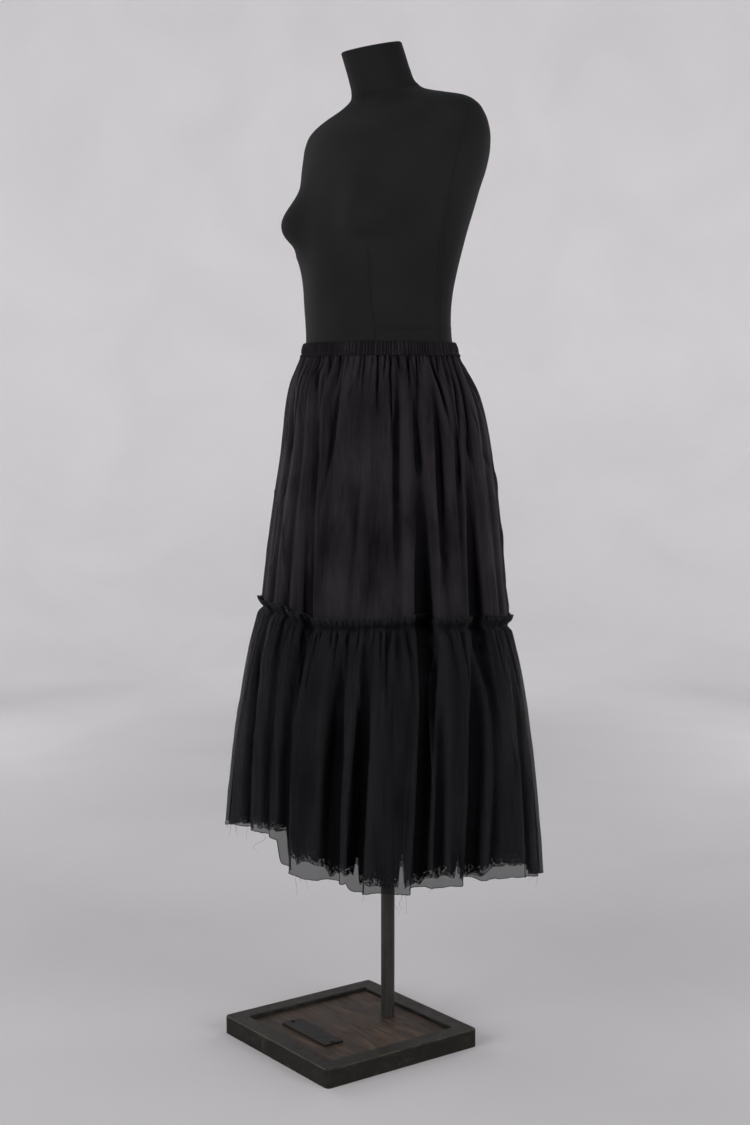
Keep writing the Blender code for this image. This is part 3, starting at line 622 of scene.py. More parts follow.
def set_cloth_uv(item, width, columns, down):
    """Write the flat cloth's own coordinates in metres for a sheet of quads that is closed round."""
    left, right = np.linspace(0.0, width, columns + 1)[:-1], np.linspace(0.0, width, columns + 1)[1:]
    corner_across = np.stack((left, left, right, right), axis=-1)[None, :]
    corner_down = np.stack((down[:-1], down[1:], down[1:], down[:-1]), axis=-1)[:, None]
    layer = item.data.uv_layers.new(name="cloth")
    layer.data.foreach_set("uv", np.stack(np.broadcast_arrays(corner_across, corner_down), axis=-1).ravel())


def add_form_skin():
    """The skin from the neck's flat top down to the cap round the pole."""
    azimuth = np.arange(FORM_COLUMNS) * 360.0 / FORM_COLUMNS
    low, high = FORM_SECTIONS[1][0], FORM_SECTIONS[-1][0]
    rows = [form_points(azimuth, level) for level in np.linspace(high, low, FORM_LEVELS)]
    rows[0] = form_points(azimuth, high, NECK_EDGE_ROUND)
    rows.insert(1, form_points(azimuth, high - NECK_EDGE_ROUND))
    middle_top = rows[0].mean(axis=0)
    caps = [middle_top + (rows[0] - middle_top) * share for share in TOP_CAP_SHARES]
    rim = rows[-1] * (LOWER_RIM_SHARE, LOWER_RIM_SHARE, 1.0)
    pole = place(azimuth, np.full(FORM_COLUMNS, POLE_RADIUS + POLE_CLEARANCE), low)
    grid = np.array(caps + rows + [rim, pole])
    item = link_grid("form_skin", grid, jersey)
    set_cloth_uv(item, FORM_UV[0], FORM_COLUMNS, np.linspace(0.0, FORM_UV[1], len(grid)))
    return item


form_skin = add_form_skin()
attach(form_skin, "root")
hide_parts("form_torso")
print("form skin faces:", len(form_skin.data.polygons))

# %% Form seams
FORM_SEAMS = {
    "side": ((91.2, 1.503), (88.4, 1.475), (88.2, 1.420), (87.5, 1.375), (85.3, 1.324),
             (85.4, 1.272), (87.7, 1.211), (89.2, 1.148)),
    "side_twin": ((89.6, 1.366), (88.0, 1.324), (88.2, 1.272), (90.4, 1.211), (91.8, 1.148)),
    "under_bust": ((40.6, 1.290), (41.2, 1.266), (41.3, 1.233), (41.8, 1.202), (43.7, 1.170), (44.0, 1.148)),
    "waist": ((43.7, 1.1672), (56.0, 1.1670), (68.0, 1.1670), (82.0, 1.1678), (96.3, 1.1690)),
    "waist_back": ((96.3, 1.1690), (120.0, 1.1690), (150.0, 1.1690), (180.0, 1.1690)),
    "back": ((140.0, 1.440), (150.0, 1.350), (154.0, 1.250), (154.0, 1.148)),
}
SEAM_HALF_WIDTH = 0.0017
SEAM_PROFILE = (
    (-1.0, 0.0), (-0.6, 0.00045), (-0.2, 0.00030), (0.0, 0.00002), (0.2, 0.00030), (0.6, 0.00045), (1.0, 0.0))
SUNK_LANES = (2, 3)
SEAM_LIFT = 0.00006
SEAM_STEPS = 40
CENTRE_BACK_SEAM = ((180.0, 1.500), (180.0, 1.350), (180.0, 1.148))
NECK_SEAM_HEIGHT = 1.5455
NECK_SEAM_RISE = 0.0042


def smooth_path(points):
    """A smooth curve through a few pairs of azimuth and height, in short steps."""
    points = np.array(points, dtype=float)
    fine = np.linspace(0.0, len(points) - 1.0, SEAM_STEPS * len(points))
    index = np.clip(fine.astype(int), 0, len(points) - 2)
    return between_keys(points, np.gradient(points, axis=0), index, (fine - index)[:, None])


seam_line = make_speckled(
    "sunk_seam_line", (0.0040, 0.0040, 0.0042), 0.9, 0.02, 400.0,
    ((0.3, (0.0030, 0.0030, 0.0032)), (0.7, (0.0056, 0.0056, 0.0058))))


def seam_strip(path):
    """Rows of points for a strip with a dip along its middle, laid on the form."""
    azimuth, height = path[:, 0], path[:, 1]
    middle = form_points(azimuth, height)
    aside = form_points(azimuth + 0.2, height) - middle
    above = form_points(azimuth, height + 0.001) - middle
    outward = np.cross(aside, above)
    outward /= np.linalg.norm(outward, axis=-1, keepdims=True)
    along = np.gradient(middle, axis=0)
    across = np.cross(outward, along)
    across /= np.linalg.norm(across, axis=-1, keepdims=True)
    rows = [middle + across * SEAM_HALF_WIDTH * side + outward * (lift + SEAM_LIFT)
            for side, lift in SEAM_PROFILE]
    return np.stack(rows, axis=1)


def add_form_seams():
    """All seam strips as one mesh; the two middle lanes of each strip are its sunk line."""
    paths = [smooth_path(seam) for seam in FORM_SEAMS.values()]
    paths += [path * (-1.0, 1.0) for path in paths]
    paths.append(smooth_path(CENTRE_BACK_SEAM))
    turns = np.arange(0.0, 361.0, 1.0)
    neck = NECK_SEAM_HEIGHT + NECK_SEAM_RISE * (1.0 - np.cos(np.radians(turns)))
    paths.append(np.stack((turns, neck), axis=-1))
    points, faces = join_grids([seam_strip(path) for path in paths], closed=False)
    item = link_mesh("form_seams", points, faces, jersey)
    item.data.materials.append(seam_line)
    across = np.tile(np.arange(len(SEAM_PROFILE) - 1), len(item.data.polygons) // (len(SEAM_PROFILE) - 1))
    item.data.polygons.foreach_set("material_index", np.isin(across, SUNK_LANES).astype(int))
    return item


form_seams = add_form_seams()
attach(form_seams, "root")
print("form seam faces:", len(form_seams.data.polygons))

# %% [markdown]
# ## Shapes shared by the cloth
# The skirt's outline is read from one table of levels, and the large folds are valleys cut into it. Each
# valley leans from an azimuth at its top to one at its bottom. On top of these come creases, given one by
# one: a crease has its own two ends and its deepest place, and its two sides may differ, because cloth
# often lies softly on one side of a fold and turns sharply on the other. A crease with a negative cut is
# a ridge. The fold's walls are then rolled outwards, which gives the round tubes that gathered cloth makes.

# %% Outline and folds
UPPER_SECTIONS = (
    ("height", "half_width", "front", "back"),
    (1.147, 0.1370, 0.1375, 0.0855),
    (1.125, 0.1430, 0.1425, 0.0955),
    (1.105, 0.1520, 0.1500, 0.1085),
    (1.089, 0.1590, 0.1565, 0.1195),
    (1.073, 0.1650, 0.1600, 0.1290),
    (1.041, 0.1745, 0.1635, 0.1405),
    (1.008, 0.1815, 0.1650, 0.1480),
    (0.975, 0.1870, 0.1680, 0.1540),
    (0.910, 0.1950, 0.1790, 0.1650),
    (0.844, 0.2025, 0.1895, 0.1720),
    (0.778, 0.2090, 0.1990, 0.1780),
    (0.700, 0.2160, 0.2085, 0.1860),
)
SEAM_LINE = (
    ("azimuth", "height"),
    (-36.0, 0.720),
    (0.0, 0.719),
    (9.0, 0.710),
    (17.0, 0.705),
    (36.0, 0.706),
    (50.0, 0.709),
    (66.0, 0.713),
    (76.0, 0.708),
    (95.0, 0.706),
    (124.0, 0.697),
    (143.0, 0.686),
    (180.0, 0.680),
    (230.0, 0.685),
    (280.0, 0.700),
    (324.0, 0.720),
)
UPPER_FOLDS = (
    ("top", "bottom", "half_width", "depth_top", "depth_middle", "depth_bottom"),
    (-27.0, -30.0, 0.012, 0.000, 0.003, 0.005),
    (-17.0, -13.0, 0.010, 0.002, 0.005, 0.005),
    (-3.0, 1.0, 0.008, 0.001, 0.003, 0.006),
    (6.5, 15.8, 0.009, 0.003, 0.009, 0.014),
    (21.0, 23.0, 0.008, 0.003, 0.003, 0.000),
    (37.0, 36.0, 0.009, 0.001, 0.0020, 0.001),
    (47.0, 43.5, 0.008, 0.002, 0.0015, 0.001),
    (57.4, 57.0, 0.007, 0.003, 0.006, 0.001),
    (67.5, 68.8, 0.012, 0.003, 0.009, 0.020),
    (79.0, 78.5, 0.008, 0.003, 0.009, 0.002),
    (89.0, 87.0, 0.007, 0.002, 0.006, 0.001),
    (94.5, 94.0, 0.012, 0.002, 0.008, 0.020),
    (109.0, 112.0, 0.009, 0.003, 0.004, 0.003),
    (122.0, 127.0, 0.010, 0.002, 0.006, 0.008),
    (139.0, 141.0, 0.011, 0.003, 0.008, 0.015),
    (154.0, 153.0, 0.009, 0.002, 0.006, 0.004),
    (166.0, 170.0, 0.012, 0.003, 0.009, 0.018),
    (183.0, 182.0, 0.008, 0.002, 0.005, 0.002),
    (196.0, 198.0, 0.011, 0.003, 0.008, 0.016),
    (211.0, 209.0, 0.009, 0.002, 0.006, 0.003),
    (224.0, 226.0, 0.012, 0.003, 0.008, 0.018),
    (240.0, 239.0, 0.008, 0.003, 0.006, 0.002),
    (252.0, 255.0, 0.011, 0.002, 0.007, 0.013),
    (268.0, 267.0, 0.009, 0.003, 0.006, 0.003),
    (281.0, 283.0, 0.012, 0.003, 0.009, 0.017),
    (297.0, 298.0, 0.009, 0.002, 0.006, 0.004),
    (311.0, 313.0, 0.011, 0.003, 0.006, 0.011),
)
DRIFT_SPREAD = 9.0
DRIFT_HOLD = 0.25
CREASE_SHARPNESS = 1.25
CREASE_END_WIDTH = 0.45
FOLD_ROLL = 0.22


def upper_outline(azimuth, height):
    """Distance from the axis to the upper tier before any fold is cut in."""
    values = [smooth_column(UPPER_SECTIONS, column, height) for column in UPPER_SECTIONS[0][1:]]
    return oval_radius(azimuth, *values)


def fold_depth(folds, azimuth, part, radius):
    """How far the large valleys cut in, where part runs from 0 at the top to 1 at the bottom."""
    depth = np.zeros(np.broadcast(azimuth, part, radius).shape)
    for top, bottom, half_width, depth_top, depth_middle, depth_bottom in folds[1:]:
        offset = np.radians(azimuth_between(azimuth, top + (bottom - top) * part)) * radius
        upper_cut = depth_top + (depth_middle - depth_top) * smooth_step(2.0 * part)
        lower_cut = depth_middle + (depth_bottom - depth_middle) * smooth_step(2.0 * part - 1.0)
        depth += np.where(part < 0.5, upper_cut, lower_cut) * np.exp(-((offset / half_width) ** 2))
    return depth


def fold_drift(folds, azimuth):
    """Degrees by which the folds near an azimuth lean over on their way down."""
    weights = np.full(azimuth.shape, DRIFT_HOLD)
    drift = np.zeros(azimuth.shape)
    for row in folds[1:]:
        weight = np.exp(-((azimuth_between(azimuth, row[0]) / DRIFT_SPREAD) ** 2))
        weights += weight
        drift += weight * (row[1] - row[0])
    return drift / weights


def crease_depth(creases, azimuth, height, radius):
    """Depth in metres of creases; a sharpness of 2 gives round creases and 1 gives a V."""
    depth = np.zeros(np.broadcast(azimuth, height, radius).shape)
    for high, low, az_high, az_middle, az_low, cut, deepest, left, right in creases:
        along = (high - height) / (high - low)
        rising = smooth_step(along / deepest) if deepest > 0.0 else 1.0
        falling = smooth_step((1.0 - along) / (1.0 - deepest)) if deepest < 1.0 else 1.0
        strength = rising * falling
        along = np.clip(along, 0.0, 1.0)
        centre = (az_high * (1.0 - along) * (1.0 - 2.0 * along) + 4.0 * az_middle * along * (1.0 - along)
                  + az_low * along * (2.0 * along - 1.0))
        offset = np.radians(azimuth_between(azimuth, centre)) * radius * 1000.0
        half_width = np.where(offset < 0.0, left, right)
        half_width = half_width * (CREASE_END_WIDTH + (1.0 - CREASE_END_WIDTH) * strength)
        depth += cut / 1000.0 * strength * np.exp(-(np.abs(offset / half_width) ** CREASE_SHARPNESS))
    return depth


def roll_folds(azimuth, radius, depth):
    """Move the walls of valleys away from their middles, so the ridges between them stand as tubes."""
    step = np.radians(np.gradient(azimuth, axis=1)) * radius
    slope = (np.roll(depth, -1, axis=1) - np.roll(depth, 1, axis=1)) / (2.0 * step)
    shift = -FOLD_ROLL * slope * np.maximum(depth, 0.0)
    return azimuth + np.degrees(shift / radius)


print("large folds of the upper tier:", len(UPPER_FOLDS) - 1)

# %% [markdown]
# ## Creases seen in the photo
# The next table holds the upper tier's own creases, read from the photo one by one. Each row gives the
# heights of both ends, the azimuths of its top, middle and bottom, the cut, where along the crease it is
# deepest, and the half widths to its left and right. The cut and the widths are in millimetres. Short
# ones start under the waistband and die out within a hand's width. Two wide wedges open towards the seam.

# %% Upper tier creases
CREASE_COLUMNS = ("high", "low", "az_high", "az_middle", "az_low", "cut", "deepest", "left", "right")
UPPER_CREASES = (
    CREASE_COLUMNS,
    (1.125, 1.056, -20.9, -15.0, -13.9, 3.5, 0.5, 3.0, 3.0),
    (1.125, 1.098, -8.8, -8.9, -9.0, 2.0, 0.2, 2.5, 2.5),
    (1.125, 1.050, 4.3, 6.5, 9.5, 4.5, 0.5, 2.8, 2.8),
    (1.125, 1.010, 12.2, 12.8, 10.5, 3.5, 0.45, 3.5, 3.0),
    (1.125, 1.030, 21.0, 19.6, 15.5, 3.0, 0.4, 3.5, 3.0),
    (1.125, 0.835, 27.0, 21.0, 16.0, 6.5, 0.32, 4.5, 4.0),
    (1.092, 1.044, 34.2, 31.8, 29.8, 3.0, 0.45, 2.2, 2.2),
    (1.112, 1.090, 33.0, 34.9, 37.0, 1.6, 0.5, 2.0, 2.0),
    (1.125, 1.092, 43.8, 44.0, 44.3, 2.2, 0.2, 2.5, 2.5),
    (1.125, 1.065, 49.2, 47.6, 47.6, 3.0, 0.3, 3.0, 3.0),
    (1.060, 0.950, -15.3, -16.8, -15.6, 4.0, 0.5, 7.0, 7.0),
    (1.040, 0.700, 4.5, 9.0, 13.6, 9.0, 1.0, 10.0, 4.5),
    (1.000, 0.715, 40.2, 37.5, 35.2, 2.6, 0.6, 2.6, 5.0),
    (0.985, 0.780, 48.5, 47.5, 42.0, 2.0, 0.4, 6.0, 2.4),
    (0.930, 0.760, -25.0, -19.5, -21.0, 3.0, 0.5, 6.0, 6.0),
    (1.125, 1.104, 51.7, 52.4, 53.0, 2.0, 0.2, 2.0, 2.0),
    (1.120, 0.790, 58.4, 56.9, 56.3, 7.5, 0.35, 3.0, 3.0),
    (1.125, 1.094, 59.0, 61.2, 62.2, 2.2, 0.4, 2.0, 2.0),
    (1.100, 0.930, 65.5, 67.5, 68.3, 7.0, 0.8, 3.0, 2.6),
    (0.970, 0.700, 68.2, 69.0, 69.4, 16.0, 1.0, 9.5, 9.5),
    (1.125, 1.075, 70.8, 72.5, 75.2, 2.8, 0.35, 2.5, 2.5),
    (1.100, 0.800, 78.7, 78.4, 77.6, 9.0, 0.55, 3.5, 3.5),
    (0.835, 0.795, 77.0, 78.2, 80.3, 4.0, 0.4, 2.0, 2.5),
    (1.100, 0.985, 84.3, 84.1, 86.0, 3.0, 0.4, 4.0, 3.0),
    (1.125, 1.062, 87.5, 89.0, 90.1, 3.5, 0.5, 2.5, 2.5),
    (1.055, 0.895, 89.0, 89.4, 87.8, 9.0, 0.6, 3.2, 3.2),
    (1.125, 1.070, 95.5, 96.2, 97.2, 3.0, 0.4, 2.5, 2.5),
    (1.050, 0.950, 94.5, 96.2, 99.4, 5.0, 0.7, 5.0, 4.0),
    (1.055, 0.995, 98.8, 104.0, 108.0, 2.5, 0.5, 3.0, 3.0),
    (0.990, 0.935, 107.5, 112.0, 117.0, 3.0, 0.5, 4.0, 4.0),
    (1.110, 1.055, 107.5, 111.5, 114.0, 2.5, 0.5, 3.0, 3.0),
    (0.962, 0.700, 93.5, 95.4, 96.0, 17.0, 1.0, 8.0, 8.5),
    (0.925, 0.820, 106.3, 107.1, 107.6, 2.0, 0.5, 5.0, 4.0),
    (0.930, 0.745, 49.8, 48.5, 45.5, 2.0, 0.45, 6.0, 2.2),
    (0.915, 0.725, -18.5, -6.0, 2.2, -2.5, 0.6, 3.0, 3.0),
    (0.915, 0.730, 1.5, 7.0, 9.0, -2.0, 0.5, 3.0, 3.0),
    (0.900, 0.710, 74.7, 75.2, 73.9, -2.5, 0.5, 2.5, 3.0),
    (0.800, 0.710, 77.0, 77.8, 78.6, -1.5, 0.6, 2.5, 2.5),
)


def creases_behind(creases, seed, turn_by=172.0, jitter=3.0):
    """Similar creases for the hidden side: the seen ones turned to the back, moved and resized unevenly."""
    chance = np.random.default_rng(seed)
    rows = []
    for high, low, az_high, az_middle, az_low, cut, deepest, left, right in creases[1:]:
        moved = turn_by + chance.uniform(-jitter, jitter)
        size = chance.uniform(0.7, 1.15)
        lift = 0.0 if deepest in (0.0, 1.0) or high > 1.12 else chance.uniform(-0.03, 0.03)
        rows.append((high + lift, low + lift, az_high + moved, az_middle + moved, az_low + moved,
                     cut * size, deepest, left, right))
    return tuple(rows)


ALL_UPPER_CREASES = UPPER_CREASES[1:] + creases_behind(UPPER_CREASES, 5)
print("creases of the upper tier:", len(ALL_UPPER_CREASES))

# %% [markdown]
# ## Fine gathers
# A gathered edge bunches its cloth into many small ridges, no two alike. Each one here is a short crease
# that starts at the stitches, leans a little, and runs out at its own length. A seeded generator makes
# them, so every run of the script gives the same cloth.

# %% Gather generator
GATHER_SHARPNESS = 1.15
GATHER_OPENS_BY = 0.008
GATHER_HELD = 0.55
WRINKLE_REACH = 14.0


def make_gathers(count, seed, lengths, cuts, widths, lean):
    """Rows of gathers: azimuth, degrees of lean, length in metres, cut and two half widths in millimetres."""
    chance = np.random.default_rng(seed)
    rows = []
    for number in range(count):
        azimuth = (number + chance.uniform(-0.38, 0.38)) * 360.0 / count
        length = lengths[0] + (lengths[1] - lengths[0]) * chance.uniform(0.0, 1.0) ** 1.4
        turn = chance.normal(0.0, lean) * length / lengths[1]
        sizes = [chance.uniform(*limits) for limits in (cuts, widths, widths)]
        rows.append((azimuth, turn, length, *sizes))
    return rows


def gather_depth(rows, azimuth, drop, radius):
    """Depth of gathers: held tight at the stitches, deepest just below them, and gone at their own length."""
    depth = np.zeros(azimuth.shape)
    for centre, turn, length, cut, left, right in rows:
        reach = np.degrees(3.0 * max(left, right) / 1000.0 / radius.min()) + abs(turn)
        near = np.abs(azimuth_between(azimuth[0], centre)) < reach
        level = drop.min(axis=1) < length
        block = np.ix_(level, near)
        fall = drop[block] / length
        life = GATHER_HELD + (1.0 - GATHER_HELD) * smooth_step(drop[block] / GATHER_OPENS_BY)
        life *= 1.0 - smooth_step(1.15 * fall - 0.15)
        offset = azimuth_between(azimuth[block], centre + turn * fall)
        offset = np.radians(offset) * radius[block] * 1000.0
        half_width = np.where(offset < 0.0, left, right) * (0.8 + 0.5 * fall)
        depth[block] += cut / 1000.0 * life * np.exp(-(np.abs(offset / half_width) ** GATHER_SHARPNESS))
    return depth


def crowded_columns(count, rows, start=-90.0, gain=2.2, spread=0.8):
    """Azimuths of a grid's columns, closer together where gathers cut in."""
    samples = np.linspace(start, start + 360.0, 14401)
    crowding = np.ones_like(samples)
    for centre, _, _, cut, _, _ in rows:
        crowding += gain * min(1.0, cut / 5.0) * np.exp(-((azimuth_between(samples, centre) / spread) ** 2))
    total = np.concatenate(([0.0], np.cumsum((crowding[1:] + crowding[:-1]) / 2.0)))
    return np.interp(np.arange(count) / count, total / total[-1], samples)


def make_wrinkles(count, seed, low, high, cuts):
    """Small creases of worn cloth, sharp on one side and soft on the other; half of them are ridges."""
    chance = np.random.default_rng(seed)
    rows = []
    for _ in range(count):
        top, length = chance.uniform(low, high), chance.uniform(0.02, 0.08)
        azimuth = chance.uniform(0.0, 360.0)
        slant, bow = chance.normal(0.0, 75.0) * length, chance.normal(0.0, 0.5)
        left, right = chance.permutation((1.4, chance.uniform(4.0, 9.0)))
        cut = chance.uniform(*cuts) * chance.choice((-1.0, 1.0))
        rows.append((top, top - length, azimuth, azimuth + slant / 2.0 + bow, azimuth + slant, cut,
                     chance.uniform(0.3, 0.7), left, right))
    return rows


def wrinkle_depth(rows, azimuth, height, radius):
    """Depth of wrinkles, each worked out only on the part of the grid that it reaches."""
    depth = np.zeros(azimuth.shape)
    middle = azimuth.mean(axis=0)
    for row in rows:
        near = np.abs(azimuth_between(middle, row[3])) < WRINKLE_REACH
        level = (height.min(axis=1) < row[0]) & (height.max(axis=1) > row[1])
        block = np.ix_(level, near)
        depth[block] += crease_depth((row,), azimuth[block], height[block], radius[block])
    return depth


def calm_down(rows, zones):
    """Shallower and shorter gathers where the cloth in the photo lies calm."""
    calmer = []
    for azimuth, turn, length, cut, left, right in rows:
        share = 1.0
        for centre, reach, left_over in zones[1:]:
            inside = smooth_step(1.5 - 1.5 * abs(azimuth_between(azimuth, centre)) / reach)
            share = min(share, 1.0 - (1.0 - left_over) * float(inside))
        calmer.append((azimuth, turn, length * (0.35 + 0.65 * share), cut * share, left, right))
    return calmer


def soft_ripples(ripples, azimuth, height, part):
    """Broad and fine unevenness of hanging cloth, which grows on the way down."""
    total = 0.0
    for size, seed, waves, finest, slant, grows in ripples[1:]:
        field = ripple_field(azimuth, height, seed, waves, finest, slant)
        total = total + size * field * smooth_step(part * grows)
    return total


print("a first gather:", np.round(make_gathers(1, 1, (0.02, 0.10), (1.0, 2.0), (2.0, 3.0), 2.0)[0], 3))

# %% [markdown]
# ## Thin black cotton
# The upper tier is a light cotton, nearly black with a breath of aubergine. Close to, its threads run
# unevenly, which shows as faint streaks down the cloth, and old folds leave it slightly cloudy. A low
# sheen lifts the ridges. Painted shade darkens the narrow folds and pales the ridges in the colour. The
# weave itself is only a bump.

# %% Cotton
# Painted shade: how strongly the fold value darkens the slits and pales the ridges in the cloth's colour.
FOLD_SHADE_STRENGTH = 0.42
SLIT_REACH = 13
SLIT_DEPTH = 0.0042


def paint_fold_shade(tree, pattern):
    """Lower a colour pattern by the fold value, as painted shade: paler on the ridges and darker in the
    valleys.
    """
    attribute = tree.nodes.new("ShaderNodeAttribute")
    attribute.attribute_name = "fold"
    return combine(tree, "SUBTRACT", pattern, combine(tree, "MULTIPLY", attribute.outputs["Fac"], FOLD_SHADE_STRENGTH))


def set_fold_shade(item, depth, added_darkening=0.0):
    """Store each point's painted fold shade from how far it lies in a narrow slit: 0 on a ridge, a half on
    calm cloth and 1 in a slit.
    """
    shifts = range(-SLIT_REACH, SLIT_REACH + 1, 2)
    around = np.mean([np.roll(depth, shift, axis=1) for shift in shifts], axis=0)
    fold = 0.5 + (depth - around) / (2.0 * SLIT_DEPTH) + added_darkening
    # The fold value is the cloth's painted shade, read by its material.
    layer = item.data.attributes.new("fold", "FLOAT", "POINT")
    layer.data.foreach_set("value", np.clip(fold, 0.0, 1.0).ravel())


def colour_cloth(tree, shader, scales, shares, dark, light):
    """Uneven threads as streaks down the cloth and clouds over it, with painted shade: paler on the ridges
    and darker in the folds.
    """
    streaks, clouds = (add_noise(tree, "UV", scale, detail) for scale, detail in zip(scales, (5.0, 4.0)))
    both = mix_patterns(tree, streaks, shares[0], clouds, shares[1])
    colour_by(tree, shader, paint_fold_shade(tree, both), ((0.12, dark), (0.44, light)))
    return streaks


def make_cotton(name, dark, light, sheen):
    """Closely woven cotton, with painted shade: dark in the folds and light on the ridges."""
    material, tree, shader = new_finish(
        name, light, 0.75, Specular_IOR_Level=0.03, Sheen_Weight=sheen, Sheen_Roughness=0.45)
    shader.inputs["Sheen Tint"].default_value = (0.80, 0.74, 0.86, 1.0)
    streaks = colour_cloth(
        tree, shader, ((420.0, 14.0, 1.0), (16.0, 9.0, 1.0)), (0.35, 0.65), dark, light)
    warp, weft = add_threads(tree, "X", 1900.0, 0.6), add_threads(tree, "Y", 1700.0, 0.6)
    add_bump(tree, shader, combine(tree, "ADD", combine(tree, "MULTIPLY", warp, weft), streaks), 0.00022, 0.7)
    return material


cotton = make_cotton("aubergine_black_cotton", (0.0026, 0.0022, 0.0030), (0.0150, 0.0128, 0.0156), 0.01)
print("cotton ready")

# %% [markdown]
# ## The waistband
# A strip of the cotton is folded over an elastic and stitched along its lower edge. The elastic draws it
# into fine upright ribs, about four to a finger's width, and the stitches pull it in below. We build the
# strip as a closed loop in section: out and up the front, over the top, and down behind.

# %% Waistband
BAND_TOP = 1.1470
BAND_BOTTOM = 1.1250
BAND_WALL = 0.0022
BAND_COLUMNS = 2000
BAND_RIBS = 196
BAND_SECTION = (
    ("share of the height", "lift", "ripple"),
    (0.00, 0.0000, 0.9),
    (0.08, 0.0006, 1.0),
    (0.16, 0.0004, 0.9),
    (0.23, -0.0006, 0.5),
    (0.27, -0.0006, 0.5),
    (0.34, 0.0003, 0.8),
    (0.50, 0.0008, 1.0),
    (0.70, 0.0008, 1.0),
    (0.86, 0.0004, 1.0),
    (0.95, -0.0001, 1.0),
    (1.00, -0.0008, 0.9),
)
BAND_BACK_SHARES = (0.97, 0.75, 0.50, 0.25, 0.05, 0.00)
BAND_BACK_RIPPLE = 0.3
BAND_GROOVE_ROW = 3
BAND_WAVE = 0.0006
BAND_DARKENING = 0.06
BAND_UV = (1.30, 0.052)
RIB_ROUNDNESS = 0.7
RIB_SIZE = 0.0014
RIB_RISE = 0.0004
RIB_SHADE = 0.0042


def uneven_ribs(azimuth, count, seed):
    """A wave round the skirt from -1 to 1 whose ribs differ in width and size."""
    chance = np.random.default_rng(seed)
    places = np.arange(count + 1) + np.concatenate(([0.0], chance.uniform(-0.28, 0.28, count - 1), [0.0]))
    sizes = chance.uniform(0.45, 1.0, count + 1)
    sizes[-1] = sizes[0]
    turns = azimuth % 360.0 / 360.0 * count
    phase = np.interp(turns, places, np.arange(count + 1))
    size = np.interp(turns, places, sizes)
    return (1.0 - 2.0 * np.abs(np.sin(math.pi * phase)) ** RIB_ROUNDNESS) * -size


def add_waistband():
    """The casing: its outer face with ribs, its top edge, and its plainer back."""
    azimuth = np.arange(BAND_COLUMNS) * 360.0 / BAND_COLUMNS
    ribs = uneven_ribs(azimuth, BAND_RIBS, 41)
    broad = ripple_field(azimuth, 0.0, 42, 16, 5.0)
    front = [(share, lift, RIB_SIZE * ripple, RIB_RISE * share) for share, lift, ripple in BAND_SECTION[1:]]
    back = [(share, -BAND_WALL, RIB_RISE, 0.0) for share in BAND_BACK_SHARES]
    rows = []
    for share, lift, rib, rise in front + back:
        height = BAND_BOTTOM + (BAND_TOP - BAND_BOTTOM) * share
        radius = upper_outline(azimuth, np.full(BAND_COLUMNS, height)) + lift + rib * ribs
        rows.append(place(azimuth, radius + BAND_WAVE * broad * share, height + rise * (ribs + broad)))
    grid = np.array(rows[::-1] + rows[-1:])
    item = link_grid("gathered_waistband", grid, cotton)
    set_cloth_uv(item, BAND_UV[0], BAND_COLUMNS, np.linspace(0.0, BAND_UV[1], len(grid)))
    # Painted shade on the ribs: darker in their valleys and paler on their crests; the whole band is also a
    # little darker.
    ripples = [row[2] for row in BAND_SECTION[1:]] + [BAND_BACK_RIPPLE] * len(back)
    shade = np.array(ripples[::-1] + ripples[-1:])[:, None]
    set_fold_shade(item, -RIB_SHADE * shade * ribs, BAND_DARKENING)
    return item, (rows[BAND_GROOVE_ROW] + rows[BAND_GROOVE_ROW + 1]) / 2.0


waistband, band_groove = add_waistband()
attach(waistband, "root")
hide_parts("waistband")
print("waistband faces:", len(waistband.data.polygons))

# %% [markdown]
# ## The upper tier
# One width of cotton in front and one behind are gathered into the band. The columns of our grid lean
# with the folds, so a fold never has to cut across the grid, and small steps stay smooth. Close to the
# band come two kinds of gathers: many tiny puckers, and longer ones that grow into the folds.

# %% Upper tier
CLOTH_WALL = 0.0012
GAP = 0.0003
UPPER_TOP = BAND_BOTTOM - GAP
UPPER_OVERLAP = 0.008
UPPER_COLUMNS = 1480
UPPER_ROWS = 67
UPPER_CROWD = 0.55
UPPER_LIFT = 0.0009
UPPER_UV = (1.60, 0.43)
CALM_ZONES = (
    ("azimuth", "reach", "share left"),
    (35.0, 16.0, 0.42),
    (-14.0, 9.0, 0.55),
    (62.0, 3.5, 0.5),
    (212.0, 15.0, 0.45),
    (150.0, 9.0, 0.5),
    (292.0, 10.0, 0.5),
)
UPPER_GATHERS = calm_down(
    make_gathers(92, 52, lengths=(0.030, 0.250), cuts=(3.5, 15.0), widths=(1.3, 2.6), lean=7.0), CALM_ZONES)
UPPER_PUCKERS = calm_down(
    make_gathers(190, 51, lengths=(0.010, 0.070), cuts=(2.0, 7.0), widths=(0.9, 1.6), lean=3.5), CALM_ZONES)
UPPER_WRINKLES = make_wrinkles(260, 55, 0.74, 1.10, (0.8, 2.2))
RIPPLE_COLUMNS = ("size", "seed", "waves", "finest", "slant", "grows")
UPPER_RIPPLES = (
    RIPPLE_COLUMNS,
    (0.0009, 53, 24, 9.0, 0.35, 4.0),
    (0.0004, 54, 40, 40.0, 0.10, 3.0),
)
SEAM_GROOVE = 0.0046
SEAM_GROOVE_REACH = 0.0045


def seam_groove(above_seam):
    """The gathering stitches of the seam draw both tiers in, and the cloth under them stays drawn in."""
    return SEAM_GROOVE * np.exp(-((np.maximum(above_seam, 0.0) / SEAM_GROOVE_REACH) ** 2))


def tier_rows(count, crowd):
    """Shares from 0 to 1 that lie closer together near the top."""
    share = np.linspace(0.0, 1.0, count)
    return share * (1.0 - crowd) + share**2 * crowd


